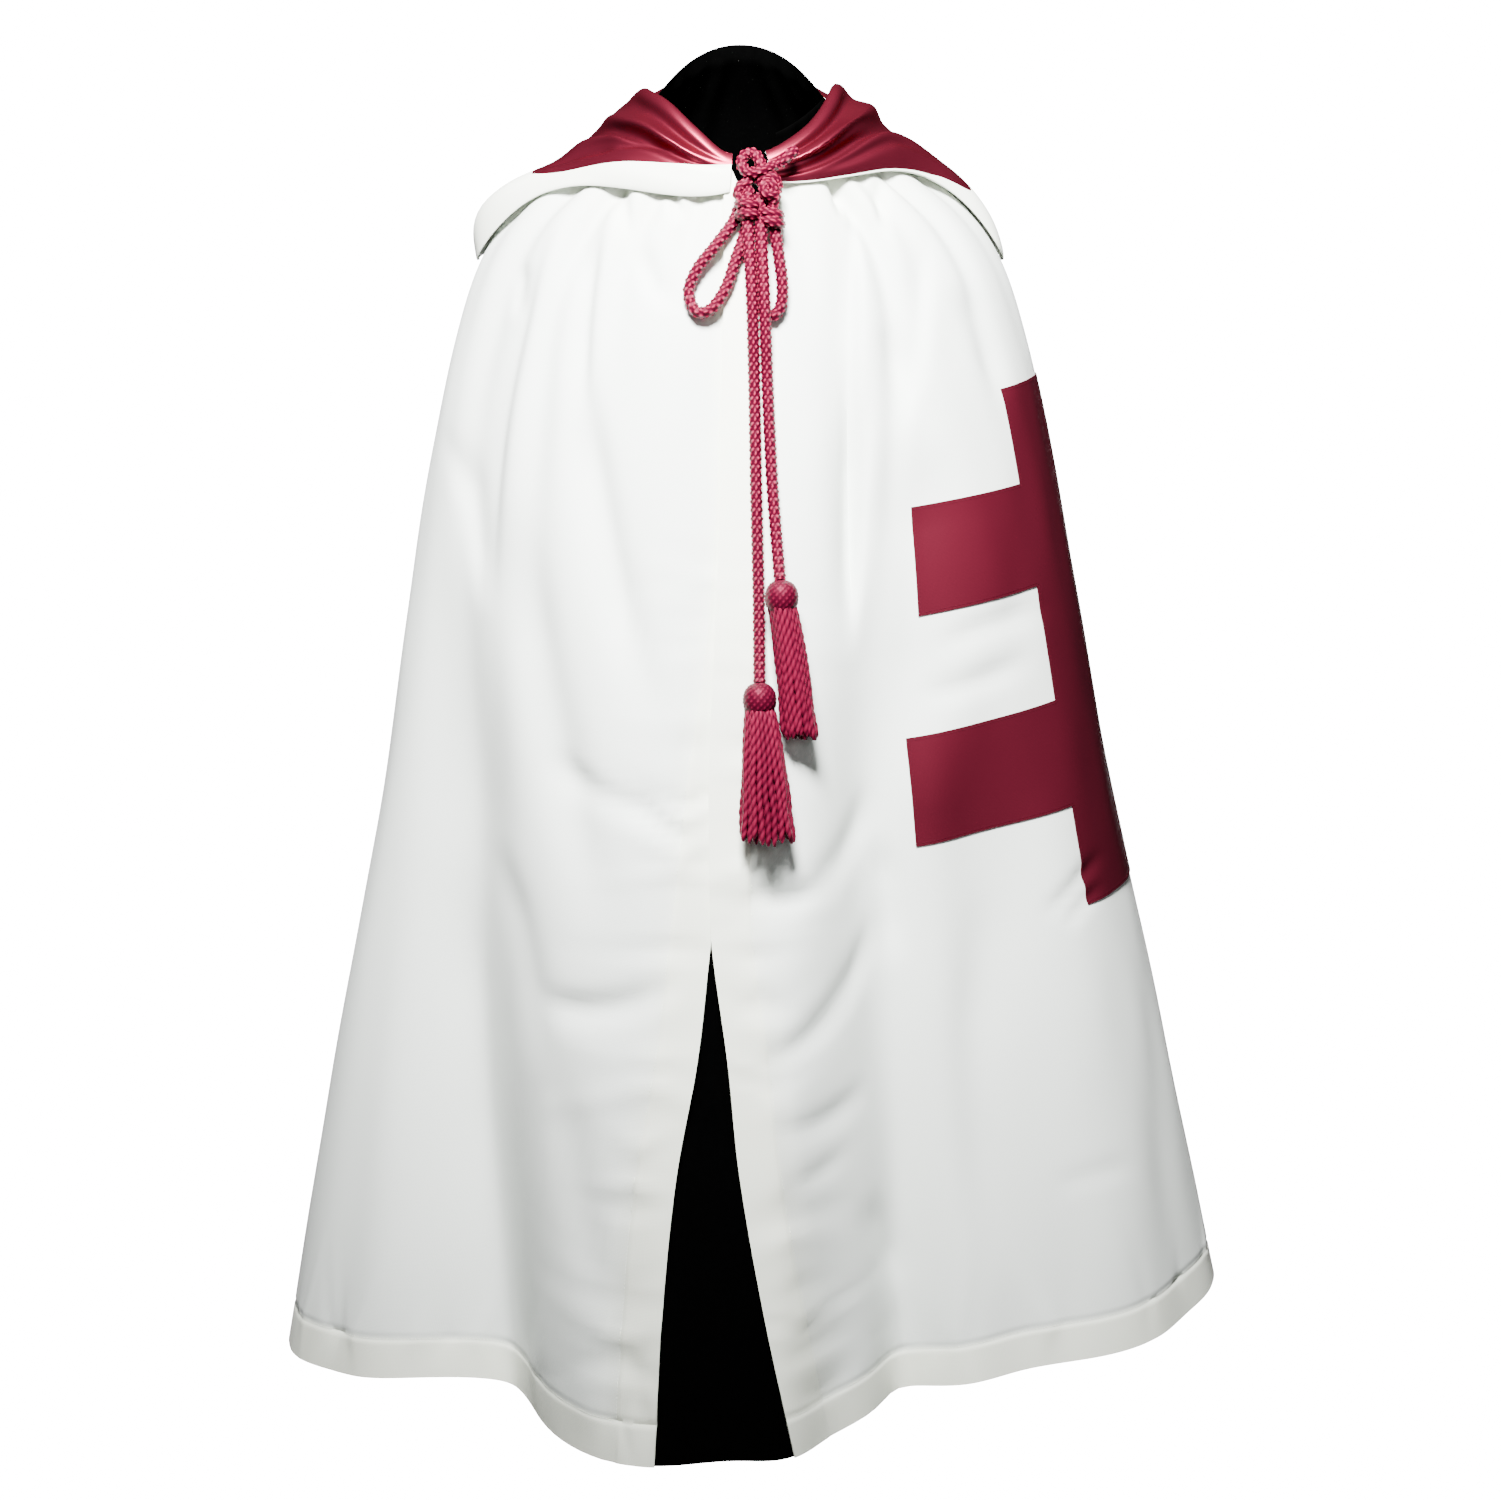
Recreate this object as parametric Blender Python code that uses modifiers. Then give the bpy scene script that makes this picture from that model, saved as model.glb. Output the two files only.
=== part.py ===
"""Templar mantle: a gathered cape with a lowered hood, a sewn cross and a tied neck cord."""
import bpy
import bmesh
from math import asin, cos, degrees, exp, pi, radians, sin
from mathutils import Vector

OBJECT_NAME = "templar_mantle"

# Cloth walls and gaps, in metres
BODY_WALL = 0.0015
DOUBLED_WALL = 0.0027
LINING_WALL = 0.0010
HOOD_WALL = 0.0012
CROSS_WALL = 0.0010
SEAM_GAP = 0.0003
LAP_STEP = 0.0042
LAP_EASE_FAR, LAP_EASE_NEAR = 0.045, 0.004
LAP_FADE_TOP, LAP_FADE_FOOT = 0.66, 0.84
LAP_TURN = 60.0
FACING_WIDTH = 0.035

# How the hem stands off towards the wearer's left
HEM_LEAN = 0.009
# How far the hem rises at the wearer's left side and drops at the right
HEM_TILT = 0.030

# Body sections from the neck (drop 0) to the hem (drop 1)
# Columns: drop, front_out, front_z, side_out, side_z, back_out, back_z
SECTIONS = (
    (0.00, 0.098, -0.042, 0.080, -0.008, 0.078, 0.037),
    (0.03, 0.106, -0.064, 0.105, -0.023, 0.097, 0.018),
    (0.07, 0.116, -0.094, 0.146, -0.052, 0.118, -0.012),
    (0.12, 0.129, -0.136, 0.195, -0.090, 0.138, -0.060),
    (0.17, 0.142, -0.181, 0.227, -0.136, 0.153, -0.113),
    (0.23, 0.155, -0.235, 0.249, -0.202, 0.167, -0.178),
    (0.32, 0.174, -0.324, 0.271, -0.301, 0.183, -0.285),
    (0.45, 0.203, -0.475, 0.297, -0.442, 0.203, -0.445),
    (0.60, 0.231, -0.650, 0.328, -0.612, 0.226, -0.622),
    (0.80, 0.268, -0.885, 0.375, -0.842, 0.258, -0.865),
    (1.00, 0.302, -1.122, 0.421, -1.076, 0.290, -1.108),
)
FRONT_OUT, FRONT_Z, SIDE_OUT, SIDE_Z, BACK_OUT, BACK_Z = range(1, 7)

# Front edges, measured across from the middle
# Columns: drop, over_x (left half, on top), under_x (right half)
FRONT_EDGES = (
    (0.00, -0.012, 0.018),
    (0.17, -0.0135, 0.019),
    (0.34, -0.0165, 0.014),
    (0.43, -0.0210, 0.006),
    (0.52, -0.0255, -0.009),
    (0.60, -0.0246, -0.0185),
    (0.64, -0.0230, -0.0245),
    (0.72, -0.0100, -0.0350),
    (0.80, 0.0000, -0.0520),
    (0.90, 0.0210, -0.0640),
    (1.00, 0.0470, -0.0700),
)
OVER_X, UNDER_X = 1, 2

# Large folds that open towards the hem; turns are degrees from the middle front
# Columns: turn_start, turn_hem, spread, start_drop, depth, hem_rise
FOLDS = (
    (-60.0, -44.0, 16.0, 0.26, 0.056, 0.028),
    (-20.0, -12.0, 8.0, 0.45, -0.014, -0.004),
    (-74.0, -66.0, 7.0, 0.55, 0.010, 0.002),
    (23.0, 20.0, 9.0, 0.26, 0.066, 0.014),
    (42.0, 36.0, 13.0, 0.36, 0.050, 0.014),
    (8.0, 4.0, 5.0, 0.50, -0.010, -0.004),
    (78.0, 66.0, 6.0, 0.64, 0.012, 0.000),
    (113.0, 109.0, 10.0, 0.34, 0.034, 0.004),
    (142.0, 139.0, 11.0, 0.30, 0.046, 0.005),
    (168.0, 169.0, 9.0, 0.32, 0.034, 0.003),
    (200.0, 203.0, 10.0, 0.28, 0.044, 0.005),
    (228.0, 232.0, 11.0, 0.34, 0.040, 0.004),
    (254.0, 257.0, 9.0, 0.30, 0.032, 0.003),
)
FOLD_OPENING = 0.32
FOLD_HEAD = 0.45

# Gathers at the neck, as soft tucks that run out down the cloth
# Columns: turn_neck, turn_end, spread_neck, spread_end, reach, depth
GATHERS = (
    (-84.0, -78.0, 5.0, 6.0, 0.26, 0.005),
    (-64.0, -62.0, 4.5, 6.0, 0.45, 0.008),
    (-48.0, -36.0, 4.0, 4.5, 0.50, 0.009),
    (-32.0, -24.0, 4.0, 4.0, 0.30, 0.006),
    (-17.0, -12.0, 3.5, 3.5, 0.22, 0.005),
    (20.0, 13.0, 4.0, 3.5, 0.24, 0.005),
    (41.0, 22.0, 3.6, 3.2, 0.50, 0.010),
    (52.0, 44.0, 3.0, 4.0, 0.20, 0.005),
    (62.0, 58.0, 3.2, 4.5, 0.34, 0.007),
    (80.0, 76.0, 5.0, 6.0, 0.26, 0.005),
    (100.0, 98.0, 5.0, 6.0, 0.30, 0.006),
    (117.0, 113.0, 4.5, 6.0, 0.38, 0.007),
    (133.0, 129.0, 4.5, 5.5, 0.28, 0.006),
    (148.0, 145.0, 4.5, 5.5, 0.40, 0.007),
    (163.0, 161.0, 4.5, 5.5, 0.30, 0.006),
    (178.0, 178.0, 4.5, 5.5, 0.34, 0.005),
    (193.0, 195.0, 4.5, 5.5, 0.42, 0.007),
    (209.0, 211.0, 4.5, 5.5, 0.28, 0.006),
    (225.0, 229.0, 4.5, 5.5, 0.36, 0.007),
    (242.0, 246.0, 4.5, 6.0, 0.30, 0.006),
    (259.0, 262.0, 5.0, 6.0, 0.30, 0.006),
)
GATHER_HEAD = 0.03
GATHER_AT_SEAM = 0.4
GATHER_HOLD = 0.3

# Levels of the body grid; the last two bound the turned hem
DROPS = (0.0, 0.02, 0.045, 0.075, 0.115, 0.16, 0.21, 0.262, 0.338, 0.419,
         0.508, 0.590, 0.667, 0.75, 0.84, 0.92, 0.971, 1.0)
HEM_DROP = DROPS[-2]
CROSS_TOP, UPPER_TOP, UPPER_FOOT, LOWER_TOP, LOWER_FOOT, CROSS_FOOT = range(7, 13)

# Guide lines that the columns of the left half follow, from the facing back
# Columns: turn at the neck, turn at the hem, cells up to the line
LEFT_GUIDES = (
    (26.5, 32.2, 7),
    (33.2, 33.2, 1),
    (60.0, 62.0, 8),
    (97.0, 81.0, 7),
    (132.0, 120.0, 8),
    (142.0, 130.0, 2),
)
LOWER_END, UPPER_END, SHAFT_FRONT, SHAFT_BACK, UPPER_REAR, LOWER_REAR = range(6)
RIGHT_GUIDES = (
    (-60.0, -60.0, 14),
    (-97.0, -90.0, 8),
)
FACING_CELLS = 3
BACK_CELLS = 11
RIGHT_BACK_CELLS = 19
SEAM_TURN = 0.06

# Small steps that a surface's normal is read by
LEVEL_STEP = 0.004
TURN_STEP = 0.4

# Hood sections by turn, each a curve from the neck seam to the face edge
# Columns: turn, then run and lift of six points; run is along the body from the neck
HOOD = (
    (15.0, 0.002, 0.0020, 0.007, 0.0040, 0.013, 0.0046, 0.019, 0.0046, 0.025, 0.0036, 0.030, 0.0024),
    (45.0, 0.002, 0.0024, 0.007, 0.0110, 0.018, 0.0150, 0.031, 0.0100, 0.044, 0.0090, 0.055, 0.0030),
    (70.0, 0.002, 0.0026, 0.010, 0.0190, 0.028, 0.0130, 0.050, 0.0180, 0.074, 0.0110, 0.095, 0.0032),
    (88.0, 0.002, 0.0026, 0.014, 0.0220, 0.046, 0.0170, 0.090, 0.0200, 0.134, 0.0130, 0.167, 0.0040),
    (102.0, 0.002, 0.0026, 0.022, 0.0170, 0.066, 0.0130, 0.122, 0.0120, 0.160, 0.0120, 0.190, 0.0120),
    (120.0, 0.002, 0.0026, 0.036, 0.0110, 0.094, 0.0080, 0.164, 0.0100, 0.202, 0.0260, 0.194, 0.0460),
    (148.0, 0.002, 0.0026, 0.056, 0.0076, 0.140, 0.0070, 0.240, 0.0100, 0.266, 0.0310, 0.156, 0.0520),
    (180.0, 0.002, 0.0026, 0.066, 0.0076, 0.164, 0.0070, 0.270, 0.0110, 0.296, 0.0340, 0.142, 0.0560),
    (212.0, 0.002, 0.0026, 0.056, 0.0076, 0.140, 0.0070, 0.240, 0.0100, 0.266, 0.0310, 0.156, 0.0520),
    (240.0, 0.002, 0.0026, 0.036, 0.0110, 0.094, 0.0080, 0.164, 0.0100, 0.202, 0.0260, 0.194, 0.0460),
    (258.0, 0.002, 0.0026, 0.020, 0.0150, 0.066, 0.0060, 0.122, 0.0070, 0.160, 0.0110, 0.190, 0.0120),
    (272.0, 0.002, 0.0026, 0.014, 0.0160, 0.048, 0.0040, 0.094, 0.0036, 0.142, 0.0040, 0.180, 0.0040),
    (290.0, 0.002, 0.0026, 0.010, 0.0150, 0.031, 0.0040, 0.057, 0.0050, 0.086, 0.0050, 0.112, 0.0032),
    (315.0, 0.002, 0.0024, 0.006, 0.0110, 0.018, 0.0140, 0.036, 0.0110, 0.054, 0.0090, 0.068, 0.0030),
    (356.0, 0.002, 0.0020, 0.008, 0.0040, 0.014, 0.0046, 0.021, 0.0046, 0.028, 0.0036, 0.035, 0.0024),
)
HOOD_POINTS = 6
HOOD_TURNS = (15.0, 356.0)
HOOD_CELLS = 38
HOOD_LINING_CELLS = 9
HOOD_FACING_CELLS = 2
# Share of the lining at each level line behind, close together round the pouch's foot
HOOD_BACK_LEVELS = (0.0, 0.18, 0.37, 0.54, 0.65, 0.73, 0.80, 0.86, 0.92, 1.0)
POUCH_TURN_INNER, POUCH_TURN_OUTER = 55.0, 88.0

# Where the hood's lining meets the turned-in edge
# Columns: turn, level
HOOD_FACING = (
    (15.0, 0.84),
    (90.0, 0.93),
    (180.0, 0.94),
    (262.0, 0.93),
    (282.0, 0.86),
    (315.0, 0.68),
    (356.0, 0.34),
)
FACING_SPLIT = 0.0024
CUT_BACK_SHARE = 0.5
RUN_STEPS = 40
RUN_DROP = 0.42

# Black facing inside the back of the neck, and the black panel behind the slit
NECK_RISE = -0.012
NECK_LIP = 0.006
NECK_FACING_FOOT = 6
UNDERLAP_TOP = 11
UNDERLAP_CELLS = 10
UNDERLAP_MARGIN = 0.022
UNDERLAP_GAP = 0.0009
SKIN_LOW = -0.03

# Neck cord, knot and tassels
CORD_RADIUS = 0.005
NEAR_LIFT = 0.0062
FAR_LIFT = 0.0188
CORD_SPLITS = 4
CORD_SIDES = 2

# Steps that find the cloth behind a place on the front
AIM_STEPS = 16
BODY_HEIGHT = 1.1

# Knot centre across, up, out from the cloth, and its half sizes
KNOT_X, KNOT_Z, KNOT_OUT = 0.0150, -0.0640, 0.0180
KNOT_HALF = (0.0200, 0.0118, 0.0270)
KNOT_WAIST = 0.16
WAIST_AT, WAIST_SPREAD = 0.1, 0.22
KNOT_RIDGE = 0.05
RIDGE_SLANT = 3.0
KNOT_FLAT = 0.80

# Cord routes lying on the front: across, up, out from the cloth
LOOP_RIGHT = (
    (-0.0015, -0.0880, NEAR_LIFT), (-0.0062, -0.1000, 0.0075), (-0.0200, -0.1180, 0.0085),
    (-0.0350, -0.1370, 0.0080), (-0.0425, -0.1560, NEAR_LIFT), (-0.0365, -0.1720, NEAR_LIFT),
    (-0.0235, -0.1700, 0.0070), (-0.0110, -0.1520, 0.0075), (-0.0030, -0.1290, 0.0075),
    (0.0045, -0.1080, 0.0075), (0.0092, -0.0880, NEAR_LIFT),
)
LOOP_LEFT = (
    (0.0285, -0.0870, FAR_LIFT), (0.0305, -0.1080, 0.0165), (0.0335, -0.1290, 0.0145),
    (0.0360, -0.1500, 0.0120), (0.0345, -0.1680, 0.0085), (0.0265, -0.1765, NEAR_LIFT),
    (0.0190, -0.1650, 0.0058), (0.0165, -0.1450, 0.0058), (0.0180, -0.1200, 0.0058),
    (0.0200, -0.0880, NEAR_LIFT),
)
TAIL_RIGHT = (
    (0.0062, -0.0866, FAR_LIFT), (0.0085, -0.1250, 0.0192), (0.0105, -0.1600, 0.0180),
    (0.0115, -0.1950, 0.0120), (0.0125, -0.2350, 0.0064), (0.0140, -0.3200, 0.0058),
    (0.0160, -0.4000, 0.0062), (0.0166, -0.4500, 0.0105), (0.0168, -0.4760, 0.0165),
)
TAIL_LEFT = (
    (0.0172, -0.0866, FAR_LIFT), (0.0190, -0.1250, 0.0192), (0.0208, -0.1600, 0.0180),
    (0.0222, -0.1950, 0.0128), (0.0236, -0.2350, 0.0064), (0.0272, -0.3100, 0.0066),
    (0.0315, -0.3640, 0.0120), (0.0340, -0.3920, 0.0190),
)
CORD_NECK = (
    (0.0337, -0.0504, 0.0268), (0.0400, -0.0442, 0.0290), (0.0470, -0.0390, 0.0290),
)

HEAD_RADIUS = 0.0125
HEAD_TALL = 0.0145
SKIRT_LENGTH = 0.104
STRAND_SIDE = 0.0034
STRAND_SHAPE = 1.43
STRAND_PARTS = (0.18, 0.6, 1.0)
ROOT_LEVEL = -0.3
ROOT_INSET = 0.0004
ROOT_OPENING = 0.55
WAIST_SHARE = 0.75
TIP_SLANT = 0.2
SKIRT_FLAT = 0.55
TASSEL_GAP = 0.0004
TASSEL_CLEAR = 0.005
# Columns: foot of the skirt away from its head across, half width of the skirt
TASSEL_RIGHT_LEAN, TASSEL_RIGHT_HALF = 0.0070, 0.0225
TASSEL_LEFT_LEAN, TASSEL_LEFT_HALF = 0.0155, 0.0135

CREAM = (0.86, 0.85, 0.78)
BLACK = (0.006, 0.006, 0.006)
SATIN = (0.25, 0.012, 0.03)
CROSS_RED = (0.19, 0.011, 0.025)
CORD_RED = (0.36, 0.022, 0.07)


def smooth_step(low, high, value):
    """Ease from 0 to 1 between two values."""
    t = min(max((value - low) / (high - low), 0.0), 1.0)
    return t * t * (3.0 - 2.0 * t)


def read_table(rows, column, at):
    """Smooth value of one column of a table at a place in its first column."""
    last = len(rows) - 1
    i = 0
    while i < last - 1 and at > rows[i + 1][0]:
        i += 1
    low, high = rows[i], rows[i + 1]
    before, after = rows[max(i - 1, 0)], rows[min(i + 2, last)]
    span = high[0] - low[0]
    t = (at - low[0]) / span
    slope_low = (high[column] - before[column]) / (high[0] - before[0]) * span
    slope_high = (after[column] - low[column]) / (after[0] - low[0]) * span
    rise = high[column] - low[column]
    curve = 3.0 * rise - 2.0 * slope_low - slope_high
    bend = slope_low + slope_high - 2.0 * rise
    return low[column] + t * (slope_low + t * (curve + t * bend))


def base_point(turn, drop):
    """Body without folds: an oval at each drop, lower or higher at front, sides and back."""
    angle = radians(turn)
    ahead = cos(angle)
    out, height = (FRONT_OUT, FRONT_Z) if ahead >= 0.0 else (BACK_OUT, BACK_Z)
    side_z = read_table(SECTIONS, SIDE_Z, drop)
    end_z = read_table(SECTIONS, height, drop)
    x = read_table(SECTIONS, SIDE_OUT, drop) * sin(angle) + HEM_LEAN * drop * drop
    y = -read_table(SECTIONS, out, drop) * ahead
    tilt = HEM_TILT * sin(angle) * drop * abs(drop)
    return Vector((x, y, side_z + (end_z - side_z) * ahead * ahead + tilt))


def normal_of(place, turn, level, low, high):
    """Unit normal of a surface by small steps in both directions."""
    near, far = max(level - LEVEL_STEP, low), min(level + LEVEL_STEP, high)
    across = place(turn + TURN_STEP, level) - place(turn - TURN_STEP, level)
    down = place(turn, far) - place(turn, near)
    return down.cross(across).normalized()


def turn_between(turn, centre):
    """Signed degrees from a centre, the short way round."""
    return (turn - centre + 180.0) % 360.0 - 180.0


def fold_depth(turn, drop):
    """Depth of all folds and gathers at a place, and how far they lift the hem."""
    depth = 0.0
    rise = 0.0
    for turn_start, turn_hem, spread, start, deep, hem_rise in FOLDS:
        open_by = smooth_step(start, start + FOLD_OPENING, drop)
        centre = turn_start + (turn_hem - turn_start) * smooth_step(start, 1.0, drop)
        swell = exp(-(turn_between(turn, centre) / spread) ** 2)
        depth += deep * swell * open_by * (FOLD_HEAD + (1.0 - FOLD_HEAD) * drop)
        rise += hem_rise * swell * open_by * drop * drop
    for turn_neck, turn_end, spread_neck, spread_end, reach, deep in GATHERS:
        along = min(drop / reach, 1.0)
        centre = turn_neck + (turn_end - turn_neck) * along
        spread = spread_neck + (spread_end - spread_neck) * along
        swell = exp(-(turn_between(turn, centre) / spread) ** 2)
        head = GATHER_AT_SEAM + (1.0 - GATHER_AT_SEAM) * smooth_step(0.0, GATHER_HEAD, drop)
        depth += deep * swell * head * (1.0 - smooth_step(GATHER_HOLD * reach, reach, drop))
    return depth, rise


def lap_fade(drop):
    """The lap runs out below the point where the front edges part."""
    return 1.0 - smooth_step(LAP_FADE_TOP, LAP_FADE_FOOT, drop)


def lap_depth(turn, drop):
    """How far the right half is tucked in under the left half at the middle front."""
    if abs(turn) > LAP_TURN:
        return 0.0
    x = base_point(turn, drop).x
    over = read_table(FRONT_EDGES, OVER_X, drop)
    return LAP_STEP * smooth_step(over - LAP_EASE_FAR, over - LAP_EASE_NEAR, x) * lap_fade(drop)


def left_surface(turn, drop):
    """Outer face of the left half, folds and gathers included."""
    depth, rise = fold_depth(turn, drop)
    away = normal_of(base_point, turn, drop, SKIN_LOW, 1.0)
    return base_point(turn, drop) - away * depth + Vector((0.0, 0.0, rise))


def right_surface(turn, drop):
    """Outer face of the right half, which steps in under the left one."""
    tucked = left_surface(turn, drop)
    step = lap_depth(turn, drop)
    if step > 0.0:
        tucked -= normal_of(base_point, turn, drop, SKIN_LOW, 1.0) * step
    return tucked


def body_point(surface, turn, drop, out):
    """Point of one half of the body, moved out along the cloth's normal."""
    place = surface(turn, drop)
    if out != 0.0:
        place += normal_of(surface, turn, drop, SKIN_LOW, 1.0) * out
    return place


def turn_at(x, drop):
    """Turn of the front line that lies at a distance across."""
    side = read_table(SECTIONS, SIDE_OUT, drop)
    return degrees(asin((x - HEM_LEAN * drop * drop) / side))


def spread_columns(marks):
    """Fill in the columns between guide turns, each with its own number of cells."""
    columns = [marks[0][0]]
    for turn, cells in marks[1:]:
        start = columns[-1]
        columns += [start + (turn - start) * (i + 1) / cells for i in range(cells)]
    return columns


def left_columns(drop):
    """Turns of the left half's columns, from its front edge to the middle back."""
    edge = read_table(FRONT_EDGES, OVER_X, drop)
    marks = [(turn_at(edge, drop), 0), (turn_at(edge + FACING_WIDTH, drop), FACING_CELLS)]
    marks += [(top + (foot - top) * drop, cells) for top, foot, cells in LEFT_GUIDES]
    marks.append((180.0 - SEAM_TURN, BACK_CELLS))
    return spread_columns(marks)


def right_columns(drop):
    """Turns of the right half's columns, from its front edge to the middle back."""
    edge = read_table(FRONT_EDGES, UNDER_X, drop)
    marks = [(turn_at(edge, drop), 0), (turn_at(edge - FACING_WIDTH, drop), FACING_CELLS)]
    marks += [(top + (foot - top) * drop, cells) for top, foot, cells in RIGHT_GUIDES]
    marks.append((SEAM_TURN - 180.0, RIGHT_BACK_CELLS))
    return spread_columns(marks)


def guide_column(guide):
    """Index of the column that follows one of the left half's guide lines."""
    return FACING_CELLS + sum(row[2] for row in LEFT_GUIDES[:guide + 1])


def make_material(name, colour, roughness):
    material = bpy.data.materials.new(name)
    material.use_nodes = True
    shader = material.node_tree.nodes["Principled BSDF"]
    shader.inputs["Base Color"].default_value = (*colour, 1.0)
    shader.inputs["Roughness"].default_value = roughness
    return material


def add_object(name, data, material):
    obj = bpy.data.objects.new(name, data)
    data.materials.append(material)
    collection.objects.link(obj)
    return obj


def finish_mesh(name, bm, material):
    mesh = bpy.data.meshes.new(name)
    bm.to_mesh(mesh)
    bm.free()
    return add_object(name, mesh, material)


def cloth_sheet(name, across, along, place, material, wall, doubled=None, out=0.0, mirrored=False):
    """Closed cloth wall: a grid set on its outer face, with its thickness inside.

    place(i, j) gives the outer point of column i and level j.
    doubled(i, j), if given, says where the cloth is turned in and lies double.
    out moves the whole sheet along its own normals.
    mirrored cuts the cells of the two sides along mirrored diagonals.
    """
    bm = bmesh.new()
    bmesh.ops.create_grid(bm, x_segments=across, y_segments=along, size=0.5)
    thick = bm.verts.layers.deform.verify()
    first_side = [f for f in bm.faces if mirrored and f.calc_center_median().x < 0.0]
    for vert in bm.verts:
        i = round((vert.co.x + 0.5) * across)
        j = round((vert.co.y + 0.5) * along)
        vert.co = place(i, j)
        vert[thick][0] = 1.0 if doubled and doubled(i, j) else 0.0
    bmesh.ops.triangulate(bm, faces=first_side, quad_method='ALTERNATE')
    bmesh.ops.triangulate(bm, faces=bm.faces[:], quad_method='FIXED')
    bm.normal_update()
    for vert in bm.verts:
        vert.co += vert.normal * (out * vert.calc_shell_factor())
    obj = finish_mesh(name, bm, material)
    obj.vertex_groups.new(name="turned_in")
    solidify = obj.modifiers.new("wall", 'SOLIDIFY')
    solidify.offset = -1.0
    solidify.thickness = wall
    if doubled:
        solidify.thickness = DOUBLED_WALL
        solidify.vertex_group = "turned_in"
        solidify.thickness_vertex_group = wall / DOUBLED_WALL
    return obj


def body_sheet(name, surface, columns, first, last, drops, outs, material, wall, doubled=False):
    """Cloth on the body's own grid, between two columns and along a run of drops."""
    backwards = surface is left_surface

    def place(i, j):
        turns = columns(drops[j])
        turn = turns[last - i] if backwards else turns[first + i]
        return body_point(surface, turn, drops[j], outs[j])

    def turned_in(i, j):
        column = last - i if backwards else first + i
        return column <= FACING_CELLS or drops[j] >= HEM_DROP

    turned = turned_in if doubled else None
    return cloth_sheet(name, last - first, len(drops) - 1, place, material, wall, turned)


def underlap_place(i, j):
    """Outer point of the black panel behind the slit, close inside both front edges."""
    drop = DROPS[UNDERLAP_TOP + j]
    right = turn_at(read_table(FRONT_EDGES, UNDER_X, drop) - UNDERLAP_MARGIN, drop)
    left = turn_at(read_table(FRONT_EDGES, OVER_X, drop) + UNDERLAP_MARGIN, drop)
    turn = left + (right - left) * i / UNDERLAP_CELLS
    inside = DOUBLED_WALL + UNDERLAP_GAP + LAP_STEP * lap_fade(drop)
    return body_point(left_surface, turn, drop, -inside)


def run_to_drop(turn):
    """Table of distance along the body from the neck against drop, at one turn."""
    rows = [(0.0, 0.0)]
    before = base_point(turn, 0.0)
    for i in range(1, RUN_STEPS + 1):
        drop = RUN_DROP * i / RUN_STEPS
        here = base_point(turn, drop)
        rows.append((rows[-1][0] + (here - before).length, drop))
        before = here
    return rows


def hood_point(turn, level):
    """Point of the hood's cloth from its neck seam (level 0) to its face edge (level 1)."""
    points = []
    for i in range(HOOD_POINTS):
        run = read_table(HOOD, 1 + 2 * i, turn)
        lift = read_table(HOOD, 2 + 2 * i, turn)
        points.append((i / (HOOD_POINTS - 1), run, lift))
    run = read_table(points, 1, level)
    lift = read_table(points, 2, level)
    drop = read_table(run_to_drop(turn), 1, run)
    return base_point(turn, drop) + normal_of(base_point, turn, drop, SKIN_LOW, 1.0) * lift


def hood_length(turn):
    """Length of the hood's cloth from its neck seam to its face edge."""
    steps = [hood_point(turn, i / HOOD_POINTS) for i in range(HOOD_POINTS + 1)]
    return sum((b - a).length for a, b in zip(steps, steps[1:]))


def hood_level(turn, j):
    """Level line of the hood: the lining's cells first, then those of the turned-in edge."""
    split = read_table(HOOD_FACING, 1, turn)
    if j <= HOOD_LINING_CELLS:
        even = j / HOOD_LINING_CELLS
        at_back = 1.0 - smooth_step(POUCH_TURN_INNER, POUCH_TURN_OUTER, abs(turn - 180.0))
        return split * (even + (HOOD_BACK_LEVELS[j] - even) * at_back)
    return split + (1.0 - split) * (j - HOOD_LINING_CELLS) / HOOD_FACING_CELLS


def hood_sheet(name, top, foot, out, material, wall, cut_back=0.0):
    """Cloth of the hood between two level lines, moved out towards its lining side."""
    first, last = HOOD_TURNS

    def place(i, j):
        turn = last - (last - first) * i / HOOD_CELLS
        level = hood_level(turn, top + j)
        if top + j == foot and cut_back > 0.0:
            cell = level - hood_level(turn, foot - 1)
            level -= min(cut_back / hood_length(turn), cell * CUT_BACK_SHARE)
        return hood_point(turn, level)

    return cloth_sheet(name, HOOD_CELLS, foot - top, place, material, wall, out=out, mirrored=True)


def front_point(x, z, out):
    """Point in front of the cloth at a place across and up, moved out level."""
    drop = 0.0
    turn = 0.0
    for _ in range(AIM_STEPS):
        here = left_surface(turn, drop)
        drop = min(max(drop + (here.z - z) / BODY_HEIGHT, 0.0), 1.0)
        turn += degrees((x - here.x) / read_table(SECTIONS, SIDE_OUT, drop))
    return Vector((x, left_surface(turn, drop).y - out, z))


def cord_route(stations):
    """Smooth run of points through a cord's own stations on the front."""
    knots = [(float(i), *front_point(*station)) for i, station in enumerate(stations)]
    steps = (len(knots) - 1) * CORD_SPLITS
    places = [i / CORD_SPLITS for i in range(steps + 1)]
    return [Vector([read_table(knots, axis, place) for axis in (1, 2, 3)]) for place in places]


def cord_tube(name, stations, material):
    route = cord_route(stations)
    curve = bpy.data.curves.new(name, 'CURVE')
    curve.dimensions = '3D'
    curve.bevel_depth = CORD_RADIUS
    curve.bevel_resolution = CORD_SIDES
    curve.use_fill_caps = True
    spline = curve.splines.new('POLY')
    spline.points.add(len(route) - 1)
    for point, place in zip(spline.points, route):
        point.co = (*place, 1.0)
    add_object(name, curve, material)
    return route


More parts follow.
